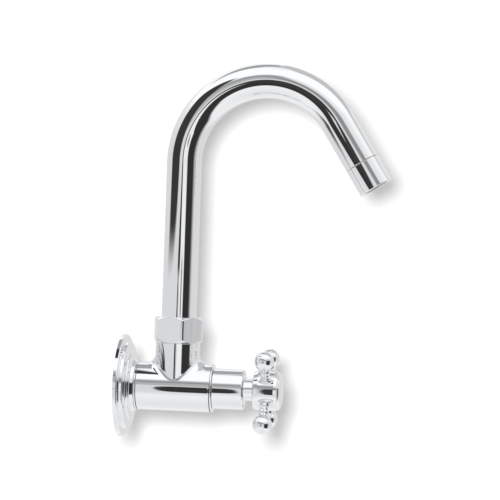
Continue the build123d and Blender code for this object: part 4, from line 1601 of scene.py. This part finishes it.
@dataclass(frozen=True)
class Flag:
    """A dark cloth near the tap that only its plated pieces mirror.

    Corners in millimetres, in turn round it; soft is the share of its half-width over which it fades.
    """

    name: str
    corners: tuple[Triple, Triple, Triple, Triple]
    colour: str
    soft: float = 0.2
    squareness: float = 4.0
    steps: int = 12

    def build(self) -> Object:
        """Build the cloth as a grid between its corners, with rounded ends and edges that fade.

        Returns:
            The cloth.
        """
        near_left, near_right, far_right, far_left = (Vector(corner) * MM for corner in self.corners)
        shares = np.linspace(0.0, 1.0, self.steps + 1)
        points = [near_left.lerp(near_right, u).lerp(far_left.lerp(far_right, u), v)
                  for v in shares for u in shares]
        row = self.steps + 1
        mesh = bpy.data.meshes.new(self.name)
        mesh.from_pydata([tuple(p) for p in points], [], [
            (j * row + i, j * row + i + 1, (j + 1) * row + i + 1, (j + 1) * row + i)
            for j in range(self.steps) for i in range(self.steps)])
        chart = mesh.uv_layers.new(name="cloth_share")
        for loop in mesh.loops:
            chart.data[loop.index].uv = (shares[loop.vertex_index % row], shares[loop.vertex_index // row])
        mesh.materials.append(self.material())
        panel = add_object(self.name, mesh)
        panel.visible_camera = panel.visible_diffuse = panel.visible_shadow = False
        return panel

    def material(self) -> Material:
        """Build the cloth's material, which fades to clear along its edges.

        Returns:
            The material.
        """
        material = bpy.data.materials.new(self.name + "_cloth")
        tree = bare_tree(material)
        share = add_node(tree, "ShaderNodeUVMap", {"uv_map": "cloth_share"})
        middle = add_node(tree, "ShaderNodeVectorMath", {"operation": "MULTIPLY_ADD"}, {
            0: share.outputs[0], 1: (2.0, 2.0, 2.0), 2: (-1.0, -1.0, -1.0)})
        axes = add_node(tree, "ShaderNodeSeparateXYZ", {}, {0: middle.outputs[0]}).outputs
        powers = [calc(tree, "POWER", calc(tree, "ABSOLUTE", axes[axis]), self.squareness) for axis in "XY"]
        fade = add_node(tree, "ShaderNodeMapRange", {"interpolation_type": "SMOOTHSTEP"}, {
            "Value": calc(tree, "POWER", calc(tree, "ADD", *powers), 1.0 / self.squareness),
            "From Min": 1.0 - self.soft, "From Max": 1.0})
        dark = add_node(tree, "ShaderNodeEmission", {}, {"Color": linear(self.colour), "Strength": 1.0})
        show(tree, dark.outputs[0], fade.outputs[0])
        return material


@dataclass(frozen=True)
class PhotoCamera:
    """The camera as worked out from the photograph: place in degrees and millimetres."""

    azimuth: float = 6.15
    elevation: float = -1.0
    roll: float = 1.95
    target: Triple = (78.5, 0.0, 87.74)
    distance: float = 941.5
    lens: float = 108.0
    sensor: float = 36.0

    def axes(self) -> tuple[Vector, Vector, Vector]:
        """Work out how the camera is turned.

        Returns:
            The directions to the camera, to the picture's right and to its top.
        """
        turn, rise, roll = math.radians(self.azimuth), math.radians(self.elevation), math.radians(self.roll)
        toward = Vector((math.sin(turn) * math.cos(rise), -math.cos(turn) * math.cos(rise), math.sin(rise)))
        right = Vector((math.cos(turn), math.sin(turn), 0.0))
        up = toward.cross(right)
        return toward, right * math.cos(roll) + up * math.sin(roll), up * math.cos(roll) - right * math.sin(roll)

    def build(self) -> Object:
        """Build the camera and make it the scene's.

        Returns:
            The camera's object.
        """
        toward, right, up = self.axes()
        camera = bpy.data.cameras.new("photo_camera")
        camera.sensor_width, camera.lens = self.sensor, self.lens
        holder = add_object("photo_camera", camera)
        turn = Matrix((right, up, toward)).transposed().to_4x4()
        turn.translation = Vector(self.target) * MM + toward * self.distance * MM
        holder.matrix_world = turn
        bpy.context.scene.camera = holder
        return holder


@dataclass
class Studio:
    """A pale room in bands of grey, with soft cards, dark cloths, a clear floor and backdrop, and one lamp.

    Heights and cards are in degrees as the tap sees them, lengths in millimetres.
    """

    heights: tuple[tuple[float, str], ...] = (
        (-90, "#E2E2E2"), (-42, "#F0F0F0"), (-31, "#E8E8E8"), (-24, "#DADADA"), (8, "#D8D8D8"), (20, "#DEDEDE"),
        (30, "#E6E6E6"), (35, "#F2F2F2"), (40, WHITE), (78, WHITE), (90, "#EAEAEA"))
    cards: tuple[Card, ...] = (
        Card((-60.0, 0.0), (9, 34), "#B0B0B0", (6.0, 3.0, 2.0)),
        Card((-60.0, -3.0), (22, 27), "#868686", (6.0, 3.0, 1.5)),
        Card((-2.0, 26.0), (-12, 5), "#EEEEEE", (2.0, 2.0, 2.0)),
        Card((-5.0, 28.0), (9, 22), "#8C8C8C", (3.0, 3.0, 3.0)),
        Card((11.5, 18.0), (-2.2, 0.6), "#6A6A6A", (1.5, 1.5, 0.4)),
        Card((28.5, 79.0), (-35, 13), "#303030", (1.6, 14.0, 4.0)),
        Card((98.0, 200.0), (34, 80), "#C0C0C0", (8.0, 3.0, 4.0)),
        Card((-200.0, -108.0), (50, 79), "#A0A0A0", (3.0, 8.0, 4.0)))
    flags: tuple[Flag, ...] = (
        Flag("flag_front", ((-88, -655, -252), (4, -655, -252), (4, -655, 75), (-88, -655, 75)), "#363636", 0.1),
        Flag("flag_counter", ((-700, -290, -26), (600, -290, -26), (1500, -3000, -270), (-1500, -3000, -270)),
             "#343434", 0.02, 8.0),
        Flag("flag_post", ((25, -655, -240), (45, -655, -240), (45, -655, 170), (25, -655, 170)),
             "#363636", 0.15),
        Flag("flag_stand", ((-42, -250, 62), (62, -250, 62), (62, -900, 225), (-42, -900, 225)), "#3C3C3C"),
        Flag("flag_left", ((2, 1, 64), (19, -28, 64), (-27, -293, 470), (-250, -93, 470)), "#3A3A3A"))
    world_strength: float = 1.1
    key_left: float = 44.0
    key_up: float = 43.0
    key_gap: float = 900.0
    key_size: float = 96.0
    key_watts: float = 15.0
    paper: str = "#B2B2B2"
    glow: float = 0.23
    floor_glow: float = 0.5
    backdrop_gap: float = 160.0
    backdrop_half: float = 900.0
    floor_height: float = -150.0
    floor_half: float = 1000.0

    def world(self) -> bpy.types.World:
        """Build the world: the greys that the chrome mirrors, and plain white behind the tap.

        Returns:
            The world.
        """
        world = bpy.data.worlds.new("studio")
        tree = bare_tree(world)
        place = add_node(tree, "ShaderNodeTexCoord")
        unit = add_node(tree, "ShaderNodeVectorMath", {"operation": "NORMALIZE"}, {
            0: place.outputs["Generated"]})
        axes = add_node(tree, "ShaderNodeSeparateXYZ", {}, {0: unit.outputs[0]}).outputs
        turn = calc(tree, "ARCTAN2", axes["X"], calc(tree, "MULTIPLY", axes["Y"], -1.0))
        rise = calc(tree, "ARCSINE", axes["Z"])
        share = add_node(tree, "ShaderNodeMapRange", {}, {
            "Value": rise, "From Min": -math.pi / 2, "From Max": math.pi / 2})
        sky = add_node(tree, "ShaderNodeValToRGB", {}, {"Fac": share.outputs[0]})
        ramp = sky.color_ramp.elements
        ramp.remove(ramp[-1])
        for stop, (height, colour) in enumerate(self.heights):
            element = ramp.new((height + 90) / 180) if stop else ramp[0]
            element.position, element.color = (height + 90) / 180, linear(colour)
        colour = sky.outputs["Color"]
        for card in self.cards:
            mask: Socket | float = 1.0
            left, right, height = card.soft
            for angle, edge, soft in ((turn, card.azimuth[0], left), (turn, card.azimuth[1], -right),
                                      (rise, card.height[0], height), (rise, card.height[1], -height)):
                side = add_node(tree, "ShaderNodeMapRange", {"interpolation_type": "SMOOTHSTEP"}, {
                    "Value": angle, "From Min": math.radians(edge - soft),
                    "From Max": math.radians(edge + soft)})
                mask = calc(tree, "MULTIPLY", mask, side.outputs[0])
            colour = mix(tree, mask, colour, linear(card.colour))
        seen = add_node(tree, "ShaderNodeLightPath").outputs["Is Camera Ray"]
        glow = add_node(tree, "ShaderNodeBackground", {}, {
            "Color": mix(tree, seen, colour, linear(WHITE)), "Strength": self.world_strength})
        add_node(tree, "ShaderNodeOutputWorld", {}, {"Surface": glow.outputs[0]})
        return world

    def sheet(self, name: str, corners: Sequence[Vector], glow: float) -> Object:
        """Make a one-sided sheet that takes the shadow and is otherwise clear white.

        Args:
            name: Name of the sheet.
            corners: Its four corners in metres, anticlockwise seen from its front.
            glow: Light of its own, which lifts it to white.

        Returns:
            The sheet.
        """
        mesh = bpy.data.meshes.new(name)
        mesh.from_pydata([tuple(c) for c in corners], [], [(0, 1, 2, 3)])
        material = bpy.data.materials.new(name + "_matt_white")
        tree = bare_tree(material)
        unseen = calc(tree, "SUBTRACT", 1.0, add_node(tree, "ShaderNodeLightPath").outputs["Is Camera Ray"])
        hidden = calc(tree, "MAXIMUM", unseen, add_node(tree, "ShaderNodeNewGeometry").outputs["Backfacing"])
        paper = add_node(tree, "ShaderNodeBsdfDiffuse", {}, {"Color": linear(self.paper)})
        light = add_node(tree, "ShaderNodeEmission", {}, {"Color": linear(WHITE), "Strength": glow})
        both = add_node(tree, "ShaderNodeAddShader", {}, {0: paper.outputs[0], 1: light.outputs[0]})
        show(tree, both.outputs[0], hidden)
        mesh.materials.append(material)
        return add_object(name, mesh)

    def build(self, view: PhotoCamera) -> list[Object]:
        """Build the room round the tap.

        Args:
            view: The photograph's camera, which the backdrop faces.

        Returns:
            The sheets, the lamp and the cloths.
        """
        scene = bpy.context.scene
        scene.world = self.world()
        scene.view_settings.view_transform = "Standard"
        toward, right, up = view.axes()
        target = Vector(view.target)
        middle, half = (target - toward * self.backdrop_gap) * MM, self.backdrop_half * MM
        backdrop = self.sheet("backdrop", [middle + (right * x + up * y) * half for x, y in SQUARE], self.glow)
        floor = self.sheet("studio_floor", [
            Vector((x * self.floor_half, y * self.floor_half, self.floor_height)) * MM for x, y in SQUARE],
            self.floor_glow)
        lamp = bpy.data.lights.new("key_softbox", "AREA")
        lamp.shape, lamp.size, lamp.energy = "DISK", self.key_size * MM, self.key_watts
        key = add_object("key_softbox", lamp)
        key.location = (target + toward * self.key_gap - right * self.key_left + up * self.key_up) * MM
        key.rotation_euler = (target * MM - key.location).to_track_quat("-Z", "Y").to_euler()
        key.visible_glossy = False
        flags = [flag.build() for flag in self.flags]
        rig.stage(backdrop, floor, key, *flags)
        return [backdrop, floor, key, *flags]


def write_sizes(stage: str) -> None:
    """Args:
        stage: Name of the stage.
    """
    try:
        with open(SIZE_FILE) as stream:
            sizes = json.load(stream)
    except (OSError, ValueError):
        sizes = {}
    sizes[stage] = [[round(float(v), 6) for v in row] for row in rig.bounds()]
    with open(SIZE_FILE, "w") as stream:
        json.dump(sizes, stream, indent=1)


def main() -> None:
    """Build every piece in order, then the camera and the studio."""
    logging.basicConfig(level=logging.INFO, format="%(name)s %(message)s")
    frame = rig.load()
    write_sizes("after_load")
    finishes = {Slot.CHROME: ChromePlate(), Slot.BRASS: TurnedBrass(), Slot.RUBBER: MouldedRubber(),
                Slot.ACETAL: MouldedAcetal(), Slot.STEEL: DrawnStainless()}
    kit = Kit(frame["nodes"], {slot: finish.build() for slot, finish in finishes.items()})
    spout = Spout()
    for assembly in (WallFlange(), TeeCasting(), SwivelNut(), Headwork(), CrossHandle(), spout,
                     WovenScreens(spout.leg_frame()), InnerWorks()):
        LOG.info("%s: %d pieces", type(assembly).__name__, len(assembly.build(kit)))
    camera = PhotoCamera()
    camera.build()
    Studio().build(camera)
    write_sizes("before_finish")


if __name__ == "__main__":
    main()
